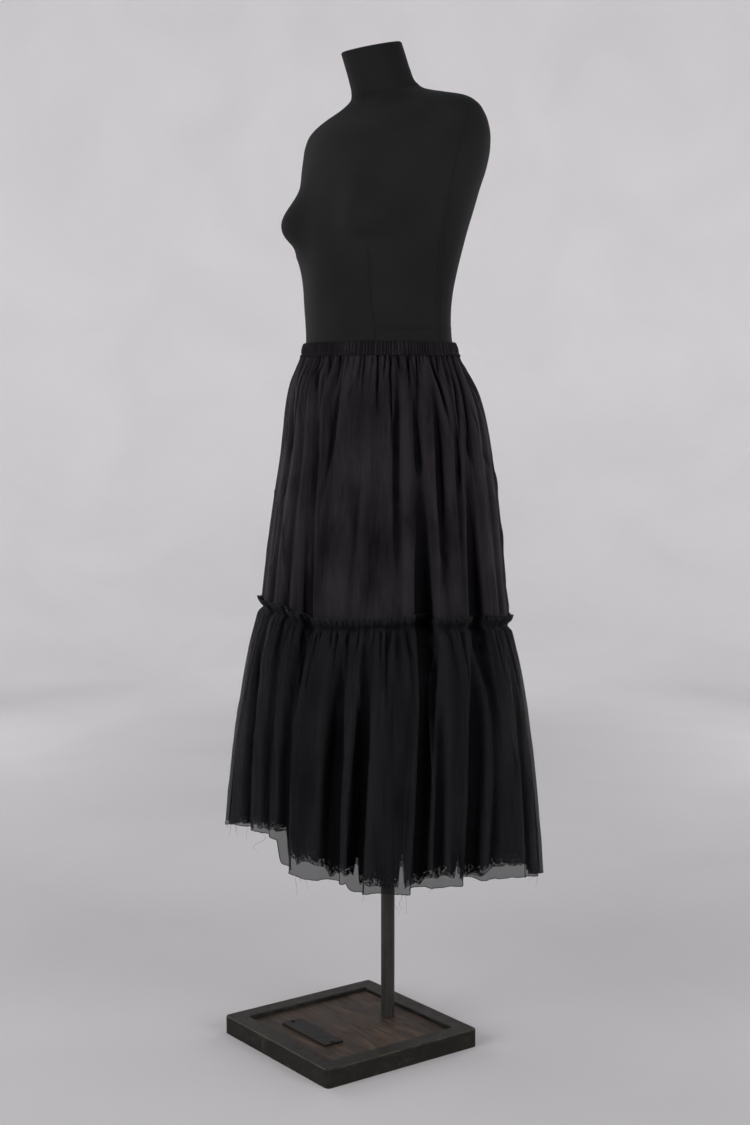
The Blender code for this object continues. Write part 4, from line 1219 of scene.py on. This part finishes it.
def upper_face(leaning, height):
    """The tier's outer face at some heights: azimuths after rolling, radii, and depth in the folds."""
    bottom = round_line(SEAM_LINE, leaning) - UPPER_OVERLAP
    part = (UPPER_TOP - height) / (UPPER_TOP - bottom)
    outline = upper_outline(leaning, height)
    depth = fold_depth(UPPER_FOLDS, leaning, part, outline)
    depth += crease_depth(ALL_UPPER_CREASES, leaning, height, outline)
    rolled = roll_folds(leaning, outline, depth)
    depth += gather_depth(UPPER_PUCKERS + UPPER_GATHERS, leaning, UPPER_TOP - height, outline)
    depth -= soft_ripples(UPPER_RIPPLES, leaning, height, part)
    depth += wrinkle_depth(UPPER_WRINKLES, leaning, height, outline)
    depth += seam_groove(height - bottom - UPPER_OVERLAP)
    return rolled, outline + UPPER_LIFT - depth, depth


def upper_surface(azimuth, part):
    """Points of the tier: azimuths are at the band, and part runs down to the cut edge behind the net."""
    leaning = azimuth + fold_drift(UPPER_FOLDS, azimuth) * part
    bottom = round_line(SEAM_LINE, leaning) - UPPER_OVERLAP
    height = UPPER_TOP + (bottom - UPPER_TOP) * part
    rolled, radius, depth = upper_face(leaning, height)
    return place(rolled, radius, height), depth


def tier_under(azimuth, height):
    """The tier's face behind the net's heading and seam, for one row of azimuths."""
    rolled, radius, _ = upper_face(azimuth[None, :], height[None, :])
    return rolled[0], radius[0]


def add_upper_tier():
    """The gathered cotton from the band down to the seam, with its fold values for the painted shade."""
    azimuth = crowded_columns(UPPER_COLUMNS, UPPER_GATHERS + UPPER_PUCKERS)
    part = tier_rows(UPPER_ROWS, UPPER_CROWD)
    grid, depth = upper_surface(*(values.copy() for values in np.broadcast_arrays(azimuth, part[:, None])))
    item = link_grid("upper_tier_cotton", grid, cotton)
    set_cloth_uv(item, UPPER_UV[0], UPPER_COLUMNS, part * UPPER_UV[1])
    set_fold_shade(item, depth)
    return item


upper_tier = add_upper_tier()
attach(upper_tier, "root")
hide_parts("upper_tier_front", "upper_tier_back")
print("upper tier faces:", len(upper_tier.data.polygons))

# %% [markdown]
# ## The lower tier's net
# The lower tier's outer layer is a crisp sheer net, cut as a strip nearly twice as long as the seam it is
# sewn to. It is gathered a finger's width below its raw edge, which leaves the small ruffled heading.
# Below the seam it falls in big round folds to an uneven hem. The same grid runs through the heading,
# the stitched line and the fall, because they are one piece of cloth.

# %% Net tables
LOWER_FLARE = (
    ("drop", "reach"),
    (0.000, 0.0000),
    (0.012, 0.0035),
    (0.030, 0.0085),
    (0.060, 0.0165),
    (0.100, 0.0250),
    (0.160, 0.0350),
    (0.230, 0.0455),
    (0.300, 0.0535),
    (0.370, 0.0600),
    (0.440, 0.0650),
)
HEM_LINE = (
    ("azimuth", "height"),
    (-36.0, 0.357),
    (-8.0, 0.380),
    (4.7, 0.382),
    (12.4, 0.378),
    (14.6, 0.337),
    (19.0, 0.330),
    (26.0, 0.3260),
    (33.0, 0.3220),
    (39.9, 0.3240),
    (41.7, 0.3070),
    (45.0, 0.3110),
    (50.0, 0.3145),
    (56.0, 0.3125),
    (60.4, 0.3105),
    (62.8, 0.3165),
    (66.0, 0.3195),
    (69.6, 0.3160),
    (72.0, 0.3210),
    (77.6, 0.3185),
    (79.4, 0.3265),
    (84.0, 0.3215),
    (90.0, 0.3205),
    (96.0, 0.3175),
    (103.0, 0.3120),
    (109.0, 0.3045),
    (118.0, 0.2980),
    (126.0, 0.2905),
    (144.0, 0.2690),
    (168.0, 0.263),
    (186.0, 0.254),
    (207.0, 0.262),
    (232.0, 0.268),
    (262.0, 0.296),
    (290.0, 0.321),
    (324.0, 0.357),
)
LOWER_FOLDS = (
    ("top", "bottom", "half_width", "depth_top", "depth_middle", "depth_bottom"),
    (-31.0, -24.0, 0.011, 0.002, 0.008, 0.013),
    (-14.0, -5.0, 0.011, 0.002, 0.009, 0.014),
    (0.5, 7.0, 0.008, 0.002, 0.006, 0.008),
    (11.0, 15.6, 0.010, 0.003, 0.013, 0.018),
    (33.5, 32.8, 0.015, 0.004, 0.020, 0.029),
    (45.0, 41.8, 0.010, 0.004, 0.022, 0.026),
    (69.0, 63.2, 0.010, 0.004, 0.019, 0.024),
    (73.5, 69.3, 0.007, 0.001, 0.010, 0.013),
    (92.0, 81.5, 0.012, 0.004, 0.021, 0.027),
    (99.0, 89.0, 0.009, 0.002, 0.005, 0.007),
    (112.0, 109.0, 0.010, 0.002, 0.006, 0.009),
    (127.0, 122.0, 0.013, 0.004, 0.017, 0.022),
    (140.0, 138.0, 0.011, 0.003, 0.013, 0.020),
    (153.0, 150.0, 0.011, 0.002, 0.011, 0.016),
    (170.0, 168.0, 0.014, 0.004, 0.021, 0.029),
    (182.0, 181.0, 0.009, 0.002, 0.011, 0.014),
    (198.0, 199.0, 0.013, 0.004, 0.020, 0.026),
    (210.0, 212.0, 0.010, 0.002, 0.010, 0.015),
    (226.0, 229.0, 0.014, 0.004, 0.020, 0.028),
    (240.0, 241.0, 0.010, 0.002, 0.010, 0.014),
    (255.0, 257.0, 0.012, 0.003, 0.018, 0.024),
    (269.0, 270.0, 0.010, 0.002, 0.010, 0.015),
    (283.0, 285.0, 0.013, 0.004, 0.019, 0.026),
    (298.0, 300.0, 0.010, 0.002, 0.010, 0.015),
    (313.0, 316.0, 0.012, 0.003, 0.015, 0.020),
)
NET_CREASES = (
    CREASE_COLUMNS,
    (0.725, 0.370, -21.0, -8.5, -6.0, 9.0, 0.5, 10.0, 3.0),
    (0.700, 0.500, -1.0, 0.5, 6.5, -2.5, 0.5, 3.0, 3.0),
    (0.715, 0.400, 1.0, 5.5, 9.0, 5.0, 0.4, 4.0, 4.0),
    (0.690, 0.370, 1.9, 9.5, 14.1, -3.0, 0.5, 2.5, 2.5),
    (0.710, 0.440, 2.9, 13.0, 13.4, -2.5, 0.5, 2.5, 2.5),
    (0.470, 0.340, 16.8, 18.2, 17.8, -2.0, 0.6, 3.0, 3.0),
    (0.718, 0.500, 12.6, 15.5, 15.2, 9.0, 0.3, 5.0, 2.5),
    (0.700, 0.330, 34.3, 33.2, 31.2, 13.0, 0.45, 8.0, 8.0),
    (0.670, 0.420, 35.2, 37.2, 39.8, -5.0, 0.5, 2.5, 2.5),
    (0.650, 0.500, 38.0, 38.2, 38.6, -4.0, 0.4, 2.0, 2.0),
    (0.660, 0.550, 40.3, 43.0, 44.0, -4.0, 0.5, 3.0, 3.0),
    (0.640, 0.300, 44.2, 43.0, 41.2, 9.0, 0.6, 6.0, 2.5),
    (0.718, 0.600, 56.8, 57.3, 57.2, 4.0, 0.3, 3.0, 2.5),
    (0.718, 0.625, 59.5, 62.0, 66.0, 3.5, 0.4, 3.0, 3.0),
    (0.718, 0.310, 68.2, 66.2, 62.6, 11.0, 0.45, 3.0, 4.0),
    (0.718, 0.420, 74.0, 69.2, 69.3, 8.0, 0.4, 3.0, 4.0),
    (0.715, 0.320, 90.5, 84.0, 80.0, 12.0, 0.45, 5.0, 6.0),
    (0.660, 0.590, 110.5, 108.0, 105.5, -2.0, 0.5, 5.0, 5.0),
    (0.520, 0.430, 108.0, 106.5, 105.4, -2.0, 0.5, 3.0, 3.0),
)
ALL_NET_CREASES = NET_CREASES[1:] + creases_behind(NET_CREASES, 7, 181.0)
SEAM_CLEARANCE = 0.0011
SEAM_VALLEY_SHARE = 0.88
SEAM_VALLEYS_GONE_BY = 0.16
OWN_VALLEYS_FULL_BY = 0.05
FLARE_LOST_BEHIND = 0.12
print("large folds of the net:", len(LOWER_FOLDS) - 1, "creases:", len(ALL_NET_CREASES))

# %% [markdown]
# ## Sheer cloth
# Net lets about a quarter of the light through, so it is darkest where several layers lie behind each
# other and pale where a single layer stands against the background, at the hem and along both sides.
# The shader's alpha gives this: one value all over. Fine threads in both directions are left to the
# bump and to a slight change of colour.

# %% Net and inner cloth
def make_net():
    """Net: see-through black with fine threads both ways."""
    material, tree, shader = new_finish(
        "sheer_black_net", (0.007, 0.007, 0.008), 0.7, Specular_IOR_Level=0.03,
        Sheen_Weight=0.01, Sheen_Roughness=0.4, Alpha=0.73)
    shader.inputs["Sheen Tint"].default_value = (0.80, 0.82, 0.90, 1.0)
    # Painted shade: the net's colour is darker in its folds and paler on its ridges, by the fold value.
    colour_cloth(
        tree, shader, ((300.0, 10.0, 1.0), (14.0, 10.0, 1.0)), (0.5, 0.5),
        dark=(0.0016, 0.0016, 0.0022), light=(0.0112, 0.0111, 0.0124))
    along, down = (add_threads(tree, direction, 1100.0, 0.4) for direction in "XY")
    add_bump(tree, shader, combine(tree, "MAXIMUM", along, down), 0.0003, 0.8)
    return material


FRAY_HEIGHT = 0.030
FRAY_HELD = 0.34
FRAY_STARTS = 0.47
FRAY_WIDTH = 0.10
WORN_ALPHA = 0.45


def fray_hem(material):
    """Let light through worn spots of a cloth near its hem, by its fray value: 1 at the hem and 0 above."""
    tree = material.node_tree
    attribute = tree.nodes.new("ShaderNodeAttribute")
    attribute.attribute_name = "fray"
    spots = add_noise(tree, "UV", (230.0, 210.0, 1.0), 7.0, 1.0)
    sound = combine(tree, "SUBTRACT", 1.0, attribute.outputs["Fac"])
    strength = combine(tree, "ADD", spots, combine(tree, "MULTIPLY", sound, FRAY_HELD))
    whole = ramp_up(tree, strength, FRAY_STARTS, FRAY_WIDTH)
    alpha = combine(tree, "MULTIPLY_ADD", whole, 1.0 - WORN_ALPHA)
    alpha.node.inputs[2].default_value = WORN_ALPHA
    tree.links.new(alpha, tree.nodes["Principled BSDF"].inputs["Alpha"])


net = make_net()
inner_cotton = make_cotton("black_inner_cloth", (0.0022, 0.0022, 0.0026), (0.0044, 0.0044, 0.0050), 0.0)
fray_hem(inner_cotton)
print("net and inner cloth ready")

# %% Net tier
NET_COLUMNS = 1480
HEADING_HEIGHT = 0.0148
HEADING_ROWS = np.array((1.0, 0.85, 0.65, 0.45, 0.25, 0.1, 0.0))
HEADING_EDGE = (("seed", "teeth", "size"), (64, 500, 0.0010), (68, 110, 0.0020))
HEM_EDGE = (("seed", "teeth", "size"), (65, 900, 0.0010))
FALL_ROWS = 60
FALL_CROWD = 0.6
NET_UV = (2.60, 0.38)
NET_LIFT = 0.0010
NET_GATHERS = make_gathers(150, 61, lengths=(0.010, 0.060), cuts=(2.5, 8.5), widths=(1.1, 2.0), lean=1.6)
NET_LONG_GATHERS = make_gathers(60, 62, lengths=(0.050, 0.240), cuts=(2.0, 8.0), widths=(1.3, 2.8), lean=4.0)
NET_WRINKLES = make_wrinkles(150, 63, 0.36, 0.69, (0.6, 1.8))
NET_RIPPLES = (
    RIPPLE_COLUMNS,
    (0.0016, 66, 26, 9.0, 0.50, 3.0),
    (0.0005, 67, 40, 40.0, 0.15, 3.0),
)
STITCH_SHADE = 0.55
STITCH_SHADE_REACH = 0.0030
SEWN_REACH = 0.0055
SEWN_LIFT = 0.0007
RUFFLE_IN = 0.0030
RUFFLE_OPENS = 0.0058
RUFFLE_LOOP = 0.0024
RUFFLE_CREST = 0.0026
RUFFLE_LEAN = 0.0042
RUFFLE_UNEVEN = 0.35
RUFFLE_ROUNDNESS = 0.7
RUFFLE_MIDDLE = 0.6


def net_reach(azimuth, drop):
    """Distance from the axis to the net before any fold is cut in."""
    outline = upper_outline(azimuth, round_line(SEAM_LINE, azimuth))
    flare = smooth_column(LOWER_FLARE, "reach", np.maximum(drop, 0.0))
    flare = flare * (1.0 - FLARE_LOST_BEHIND * (1.0 - np.cos(np.radians(azimuth))) / 2.0)
    return outline + flare + SEAM_CLEARANCE + CLOTH_WALL


def net_depth(azimuth, drop, length, reach):
    """Depth of all folds of the net, seam valleys included, before the fine gathers."""
    held = 1.0 - smooth_step(drop / SEAM_VALLEYS_GONE_BY)
    seam_height = round_line(SEAM_LINE, azimuth)
    outline = upper_outline(azimuth, seam_height)
    at_seam = fold_depth(UPPER_FOLDS, azimuth, np.ones_like(azimuth), outline)
    at_seam += crease_depth(ALL_UPPER_CREASES, azimuth, seam_height, outline)
    part = np.maximum(drop, 0.0) / length
    own = fold_depth(LOWER_FOLDS, azimuth, part, reach) * smooth_step(drop / OWN_VALLEYS_FULL_BY)
    own += crease_depth(ALL_NET_CREASES, azimuth, seam_height - drop, reach)
    return at_seam * SEAM_VALLEY_SHARE * held + own


def ragged(azimuth, seed, teeth, size):
    """Small uneven steps of a raw edge."""
    chance = np.random.default_rng(seed)
    heights = chance.uniform(-1.0, 1.0, teeth + 1) * chance.uniform(0.2, 1.0, teeth + 1)
    heights[-1] = heights[0]
    return size * np.interp(azimuth % 360.0 / 360.0 * teeth, np.arange(teeth + 1), heights)


def raw_edge(steps, azimuth):
    """All the steps of a raw edge together, fine and coarse."""
    return sum(ragged(azimuth, *row) for row in steps[1:])


def between_gathers(rows, azimuth):
    """A phase that grows by one from each gather to the next, all round."""
    centres = np.array(sorted(row[0] for row in rows))
    centres = np.concatenate((centres[-1:] - 360.0, centres, centres[:1] + 360.0))
    return np.interp((azimuth - centres[0]) % 360.0 + centres[0], centres, np.arange(len(centres)))


def heading_rows(azimuth, shares):
    """Rows of the raw heading: a loop stands out between each two gathers and opens upwards."""
    top_edge = HEADING_HEIGHT + raw_edge(HEADING_EDGE, azimuth)
    phase = between_gathers(NET_GATHERS, azimuth)
    loop = np.abs(np.sin(math.pi * phase)) ** RUFFLE_ROUNDNESS
    sway = np.sin(2.0 * math.pi * phase)
    size = 1.0 + RUFFLE_UNEVEN * ragged(azimuth, 69, 150, 1.0)
    rows, depths = [], []
    for share in shares:
        drop = -top_edge * share
        reach = net_reach(azimuth, drop)
        depth = net_depth(azimuth, drop, 1.0, reach) + seam_groove(-drop)
        fold = (RUFFLE_IN + RUFFLE_OPENS * share * size) * (1.0 - loop)
        lift = RUFFLE_LEAN * share**0.8 + NET_LIFT
        height = round_line(SEAM_LINE, azimuth) - drop + RUFFLE_CREST * (loop - RUFFLE_MIDDLE) * share
        rolled, behind = tier_under(azimuth, height)
        turned = rolled - np.degrees(RUFFLE_LOOP * share * sway * size / reach)
        sewn = np.exp(-((drop / SEWN_REACH) ** 2))
        radius = np.maximum(reach - depth + lift - fold, behind + SEWN_LIFT)
        rows.append(place(turned, radius * (1.0 - sewn) + (behind + SEWN_LIFT) * sewn, height))
        depths.append(depth + fold)
    return np.array(rows), np.array(depths)


def fall_rows(azimuth, shares):
    """Rows from just under the stitches down to the hem."""
    part = shares[:, None]
    azimuth = np.broadcast_to(azimuth[None, :], (len(shares), len(azimuth)))
    leaning = azimuth + fold_drift(LOWER_FOLDS, azimuth) * part
    seam = round_line(SEAM_LINE, leaning)
    length = seam - round_line(HEM_LINE, leaning)
    length = length + raw_edge(HEM_EDGE, leaning) * smooth_step(part * 4.0 - 3.0)
    drop = length * part
    reach = net_reach(leaning, drop)
    depth = net_depth(leaning, drop, length, reach)
    rolled = roll_folds(leaning, reach, depth)
    depth += gather_depth(NET_GATHERS + NET_LONG_GATHERS, leaning, drop, reach)
    depth += wrinkle_depth(NET_WRINKLES, leaning, seam - drop, reach)
    depth += seam_groove(drop) - NET_LIFT - soft_ripples(NET_RIPPLES, leaning, seam - drop, part)
    sewn_turn, sewn_radius = tier_under(azimuth[0], round_line(SEAM_LINE, azimuth[0]))
    sewn = np.exp(-((drop / SEWN_REACH) ** 2))
    turned = leaning + (rolled - leaning) * (1.0 - sewn) + (sewn_turn - azimuth[0])[None, :] * sewn
    radius = (reach - depth) * (1.0 - sewn) + (sewn_radius[None, :] + SEWN_LIFT) * sewn
    return place(turned, radius, seam - drop), depth


def add_net_tier():
    """The net in one grid, with the rows that the stitches and the raw edges follow."""
    azimuth = crowded_columns(NET_COLUMNS, NET_GATHERS, spread=0.6)
    fall = tier_rows(FALL_ROWS + 1, FALL_CROWD)[1:]
    heading, heading_depth = heading_rows(azimuth, HEADING_ROWS)
    falling, falling_depth = fall_rows(azimuth, fall)
    grid = np.concatenate((heading, falling))
    item = link_grid("sheer_net_tier", grid, net)
    down = np.concatenate(((1.0 - HEADING_ROWS) * HEADING_HEIGHT, HEADING_HEIGHT + fall * NET_UV[1]))
    set_cloth_uv(item, NET_UV[0], NET_COLUMNS, down)
    # Painted shade along the gathering stitches: the net's colour is darker in a narrow band at the seam.
    added_darkening = np.exp(-(((down - HEADING_HEIGHT) / STITCH_SHADE_REACH) ** 2))[:, None]
    set_fold_shade(item, np.concatenate((heading_depth, falling_depth)), STITCH_SHADE * added_darkening)
    return item, grid[0], grid[len(HEADING_ROWS) - 1], grid[-1]


net_tier, net_heading_top, net_seam, net_hem = add_net_tier()
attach(net_tier, "root")
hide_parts("lower_net_front", "lower_net_back")
print("net faces:", len(net_tier.data.polygons))

# %% [markdown]
# ## The inner layer
# Under the net hangs a closer cloth that ends above the net's hem with a torn, uneven edge. Seen through
# the net it makes the tier look nearly solid, except for the lowest strip and for a few small tears. It
# starts just below the seam, behind the upper tier's edge, so that no gap shows from above, and then keeps
# a few millimetres inside the net.

# %% Inner layer
INNER_COLUMNS = 1160
INNER_ROWS = 60
INNER_ROOM = 0.0028
INNER_NEIGHBOURS = (-2.2, -1.1, 0.0, 1.1, 2.2)
INNER_TOP = 0.0020
INNER_BEHIND = 0.0014
INNER_LEAVES = 0.016
INNER_SLACK = 0.01
INNER_FREE_BY = 1.0 / 8.0
INNER_EDGE = (("seed", "teeth", "size"), (72, 420, 0.0024), (73, 130, 0.0026))
INNER_EDGE_WAVE = 0.0016
INNER_LEAST_RISE = 0.0006
INNER_UV = (2.10, 0.35)
INNER_RISE = (
    ("azimuth", "height"),
    (-36.0, 0.0015),
    (-14.0, 0.002),
    (0.0, 0.005),
    (8.0, 0.004),
    (13.0, 0.011),
    (21.0, 0.014),
    (25.0, 0.025),
    (29.0, 0.018),
    (31.5, 0.0015),
    (34.0, 0.009),
    (40.0, 0.009),
    (44.0, 0.008),
    (60.0, 0.008),
    (62.5, 0.007),
    (64.5, 0.003),
    (68.0, 0.012),
    (73.0, 0.013),
    (77.0, 0.009),
    (81.0, 0.0015),
    (86.0, 0.003),
    (90.0, 0.012),
    (95.0, 0.018),
    (104.0, 0.018),
    (120.0, 0.014),
    (144.0, 0.011),
    (165.0, 0.019),
    (190.0, 0.012),
    (220.0, 0.018),
    (250.0, 0.009),
    (280.0, 0.016),
    (324.0, 0.0015),
)
INNER_TEARS = (
    ("azimuth", "half_width", "height"),
    (57.4, 0.8, 0.034),
    (41.6, 0.9, 0.034),
    (19.5, 1.2, 0.010),
    (76.5, 0.8, 0.018),
    (231.0, 1.3, 0.026),
    (152.0, 0.9, 0.020),
)


def inner_hem_rise(azimuth):
    """How far the inner layer's edge hangs above the net's hem."""
    rise = round_line(INNER_RISE, azimuth) + INNER_EDGE_WAVE * ripple_field(azimuth, 0.0, 71, 20, 12.0)
    rise = rise + raw_edge(INNER_EDGE, azimuth)
    for centre, half_width, height in INNER_TEARS[1:]:
        rise = rise + height * np.exp(-((azimuth_between(azimuth, centre) / half_width) ** 4))
    return np.maximum(rise, INNER_LEAST_RISE)


def inner_surface(azimuth, parts):
    """Points of the layer: it leaves the tier's edge, hangs, and then follows the net from inside."""
    part = parts[:, None]
    joined = azimuth + fold_drift(UPPER_FOLDS, azimuth)
    joined = np.broadcast_to(joined[None, :], (len(parts), len(azimuth)))
    leaning = joined + fold_drift(LOWER_FOLDS, joined) * part
    seam = round_line(SEAM_LINE, leaning)
    length = seam - round_line(HEM_LINE, leaning)
    drop = INNER_TOP + (length - inner_hem_rise(leaning) - INNER_TOP) * part
    reaches = []
    for aside in INNER_NEIGHBOURS:
        reach = net_reach(leaning + aside, drop)
        reaches.append(reach - net_depth(leaning + aside, drop, length, reach))
    radius = np.min(reaches, axis=0) - CLOTH_WALL - INNER_ROOM
    outline = upper_outline(leaning, seam - UPPER_OVERLAP)
    hung = outline - fold_depth(UPPER_FOLDS, leaning, np.ones_like(seam), outline)
    hung -= crease_depth(ALL_UPPER_CREASES, leaning, seam - UPPER_OVERLAP, outline)
    blend = smooth_step(part / INNER_FREE_BY)
    radius = np.minimum(hung, radius + INNER_SLACK) * (1.0 - blend) + radius * blend
    rolled, face, _ = upper_face(leaning, seam - np.minimum(drop, UPPER_OVERLAP))
    sewn = 1.0 - smooth_step((drop - UPPER_OVERLAP) / INNER_LEAVES)
    turned = leaning + (rolled - leaning) * sewn
    return place(turned, radius * (1.0 - sewn) + (face - INNER_BEHIND) * sewn, seam - drop)


def add_inner_layer():
    """The inner cloth, with its fray values towards the hem."""
    azimuth = np.arange(INNER_COLUMNS) * 360.0 / INNER_COLUMNS - 90.0
    parts = np.linspace(0.0, 1.0, INNER_ROWS)
    grid = inner_surface(azimuth, parts)
    item = link_grid("inner_layer", grid, inner_cotton)
    set_cloth_uv(item, INNER_UV[0], INNER_COLUMNS, parts * INNER_UV[1])
    fray = item.data.attributes.new("fray", "FLOAT", "POINT")
    above_hem = grid[..., 2] - grid[-1, :, 2]
    fray.data.foreach_set("value", np.clip(1.0 - above_hem / FRAY_HEIGHT, 0.0, 1.0).ravel())
    return item, grid[-1]


inner_layer, inner_hem = add_inner_layer()
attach(inner_layer, "root")
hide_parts("lower_inner_front", "lower_inner_back")
print("inner layer faces:", len(inner_layer.data.polygons))

# %% [markdown]
# ## Sewing and raw edges
# A line of stitches holds the elastic in the waistband, and the gathering thread runs over the gathers of
# the seam between the tiers. Each stitch is a tiny spindle, and all of a line's stitches are one mesh.
# The net's cut edges curl into thin dark strands, and a few threads hang loose from the hem. A thread is a
# tube along a path, so one helper makes the strands and the threads.

# %% Thread helpers
THREAD_SIDES = 5
STITCH_LENGTH = 0.0023
STITCH_SPACING = 0.0031
STITCH_RADIUS = 0.0003
STITCH_ARCH = 0.0008
STITCH_SECTION = ((-0.50, 0.02), (-0.34, 0.90), (0.0, 1.0), (0.34, 0.90), (0.50, 0.02))

black_thread = make_speckled(
    "black_thread", (0.0060, 0.0058, 0.0066), 0.7, 0.10, 900.0,
    ((0.35, (0.0040, 0.0039, 0.0046)), (0.65, (0.0085, 0.0082, 0.0092))))


def unit(vectors):
    """The same directions with a length of 1."""
    return vectors / np.linalg.norm(vectors, axis=-1, keepdims=True)


def thread_circle(side, over):
    """Directions round a thread, at each of its points."""
    turns = np.arange(THREAD_SIDES) * 2.0 * math.pi / THREAD_SIDES
    return side[:, None] * np.cos(turns)[None, :, None] + over[:, None] * np.sin(turns)[None, :, None]


def over_the_gathers(points, reach=5, count=1440):
    """A path round the skirt that passes over the tops of gathers, as a tight thread lies."""
    turn = np.degrees(np.arctan2(points[:, 0], -points[:, 1])) % 360.0
    order = np.argsort(turn)
    even = np.arange(count) * 360.0 / count
    radius = np.interp(even, turn[order], np.hypot(points[order, 0], points[order, 1]), period=360.0)
    height = np.interp(even, turn[order], points[order, 2], period=360.0)
    shifts = range(-reach, reach + 1)
    radius = np.max([np.roll(radius, shift) for shift in shifts], axis=0)
    radius, height = (
        np.mean([np.roll(values, shift) for shift in shifts], axis=0) for values in (radius, height))
    return place(even, radius, height)


def add_stitches(name, path, lift):
    """A closed line of stitches along a path, as one mesh."""
    closed = np.concatenate((path, path[:1]))
    along = np.concatenate(([0.0], np.cumsum(np.linalg.norm(np.diff(closed, axis=0), axis=1))))
    count = int(along[-1] / STITCH_SPACING)
    wanted = np.arange(count) * along[-1] / count
    middle = np.stack([np.interp(wanted, along, closed[:, axis]) for axis in range(3)], axis=-1)
    forward = unit(np.roll(middle, -1, axis=0) - np.roll(middle, 1, axis=0))
    outward = unit(middle * (1.0, 1.0, 0.0))
    upward = unit(np.cross(outward, forward))
    ring = thread_circle(outward, upward)
    rows = []
    for share, thick in STITCH_SECTION:
        centre = middle + forward * share * STITCH_LENGTH + outward * (lift - STITCH_ARCH * share**2)
        rows.append(centre[:, None] + ring * STITCH_RADIUS * thick)
    points = np.stack(rows, axis=1).reshape(-1, 3)
    one = ring_faces(len(STITCH_SECTION), THREAD_SIDES)
    starts = np.arange(count)[:, None, None] * len(STITCH_SECTION) * THREAD_SIDES
    return link_mesh(name, points, (one[None] + starts).reshape(-1, 4), black_thread)


def thread_rings(path, radius, never_along, closed):
    """Rings of points round a path; never_along is a direction that the path doesn't take."""
    if closed:
        forward = np.roll(path, -1, axis=0) - np.roll(path, 1, axis=0)
    else:
        forward = np.gradient(path, axis=0)
    side = unit(np.cross(np.broadcast_to(never_along, path.shape), forward))
    over = unit(np.cross(forward, side))
    rings = path[:, None] + thread_circle(side, over) * np.asarray(radius)[:, None, None]
    return np.concatenate((rings, rings[:1])) if closed else rings


print("thread helpers ready")

# %% Stitches, strands and loose threads
HEM_STRAND = (0.00040, 0.00085)
HEADING_STRAND = (0.00025, 0.00050)
LOOSE_THREADS = 22
LOOSE_STEPS = 14
LOOSE_RADII = (0.00018, 0.00010)
LOOSE_LENGTHS = (0.006, 0.034)
LOOSE_SWAY = 0.18
LOOSE_CURL = 0.10
LOOSE_START = 0.0006
BAND_STITCH_LIFT = 0.0002
SEAM_STITCH_LIFT = 0.0003


def add_strand(name, path, sizes, seed):
    """The curled raw edge of the net, thicker in some places."""
    thick = ripple_field(np.linspace(0.0, 360.0, len(path)), 0.0, seed, 30, 30.0)
    radius = sizes[0] + (sizes[1] - sizes[0]) * smooth_step(0.5 + 0.8 * thick)
    return link_grid(name, thread_rings(path, radius, (0.0, 0.0, 1.0), True), black_thread)


def add_loose_threads():
    """Threads that hang from the net's hem, each with its own sway and curl."""
    chance = np.random.default_rng(92)
    share = np.linspace(0.0, 1.0, LOOSE_STEPS)[:, None]
    threads = []
    for _ in range(LOOSE_THREADS):
        first = net_hem[chance.integers(0, len(net_hem))]
        length = chance.uniform(*LOOSE_LENGTHS)
        sway = chance.normal(0.0, LOOSE_SWAY, 2) * length
        curl = chance.normal(0.0, LOOSE_CURL, 2) * length
        fall = first + (0.0, 0.0, LOOSE_START) - np.array((0.0, 0.0, 1.0)) * length * share
        fall[:, :2] += sway * share**2 + curl * np.sin(share * math.pi * chance.uniform(1.0, 2.5))
        threads.append(thread_rings(fall, np.linspace(*LOOSE_RADII, LOOSE_STEPS), (1.0, 0.3, 0.0), False))
    return link_mesh("loose_hem_threads", *join_grids(threads), black_thread)


sewing = (
    (add_stitches("band_stitches", over_the_gathers(band_groove, 3), BAND_STITCH_LIFT), "casing_cotton"),
    (add_stitches("seam_stitches", over_the_gathers(net_seam), SEAM_STITCH_LIFT), "flounce_net"),
    (add_strand("net_hem_strand", net_hem, HEM_STRAND, 93), "flounce_net"),
    (add_strand("net_heading_strand", net_heading_top, HEADING_STRAND, 94), "flounce_net"),
    (add_loose_threads(), "flounce_net"),
)
for piece, slot in sewing:
    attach(piece, "root")
print("sewing faces:", {piece.name: len(piece.data.polygons) for piece, slot in sewing})

# %% [markdown]
# ## Cloth facts
# Each sheet's UV map gives the flat size that it was cut to, in metres. The photo can't show a cut width, so
# these are round figures close to paths measured on the finished grids: round the lowest row, where a
# gathered tier hangs nearly ungathered, and from top to bottom along the cloth.

for piece, row in (("net hem", net_hem), ("inner hem", inner_hem)):
    path = np.linalg.norm(np.roll(row, -1, axis=0) - row, axis=1).sum()
    print(piece, "path round:", round(float(path), 3), "m")
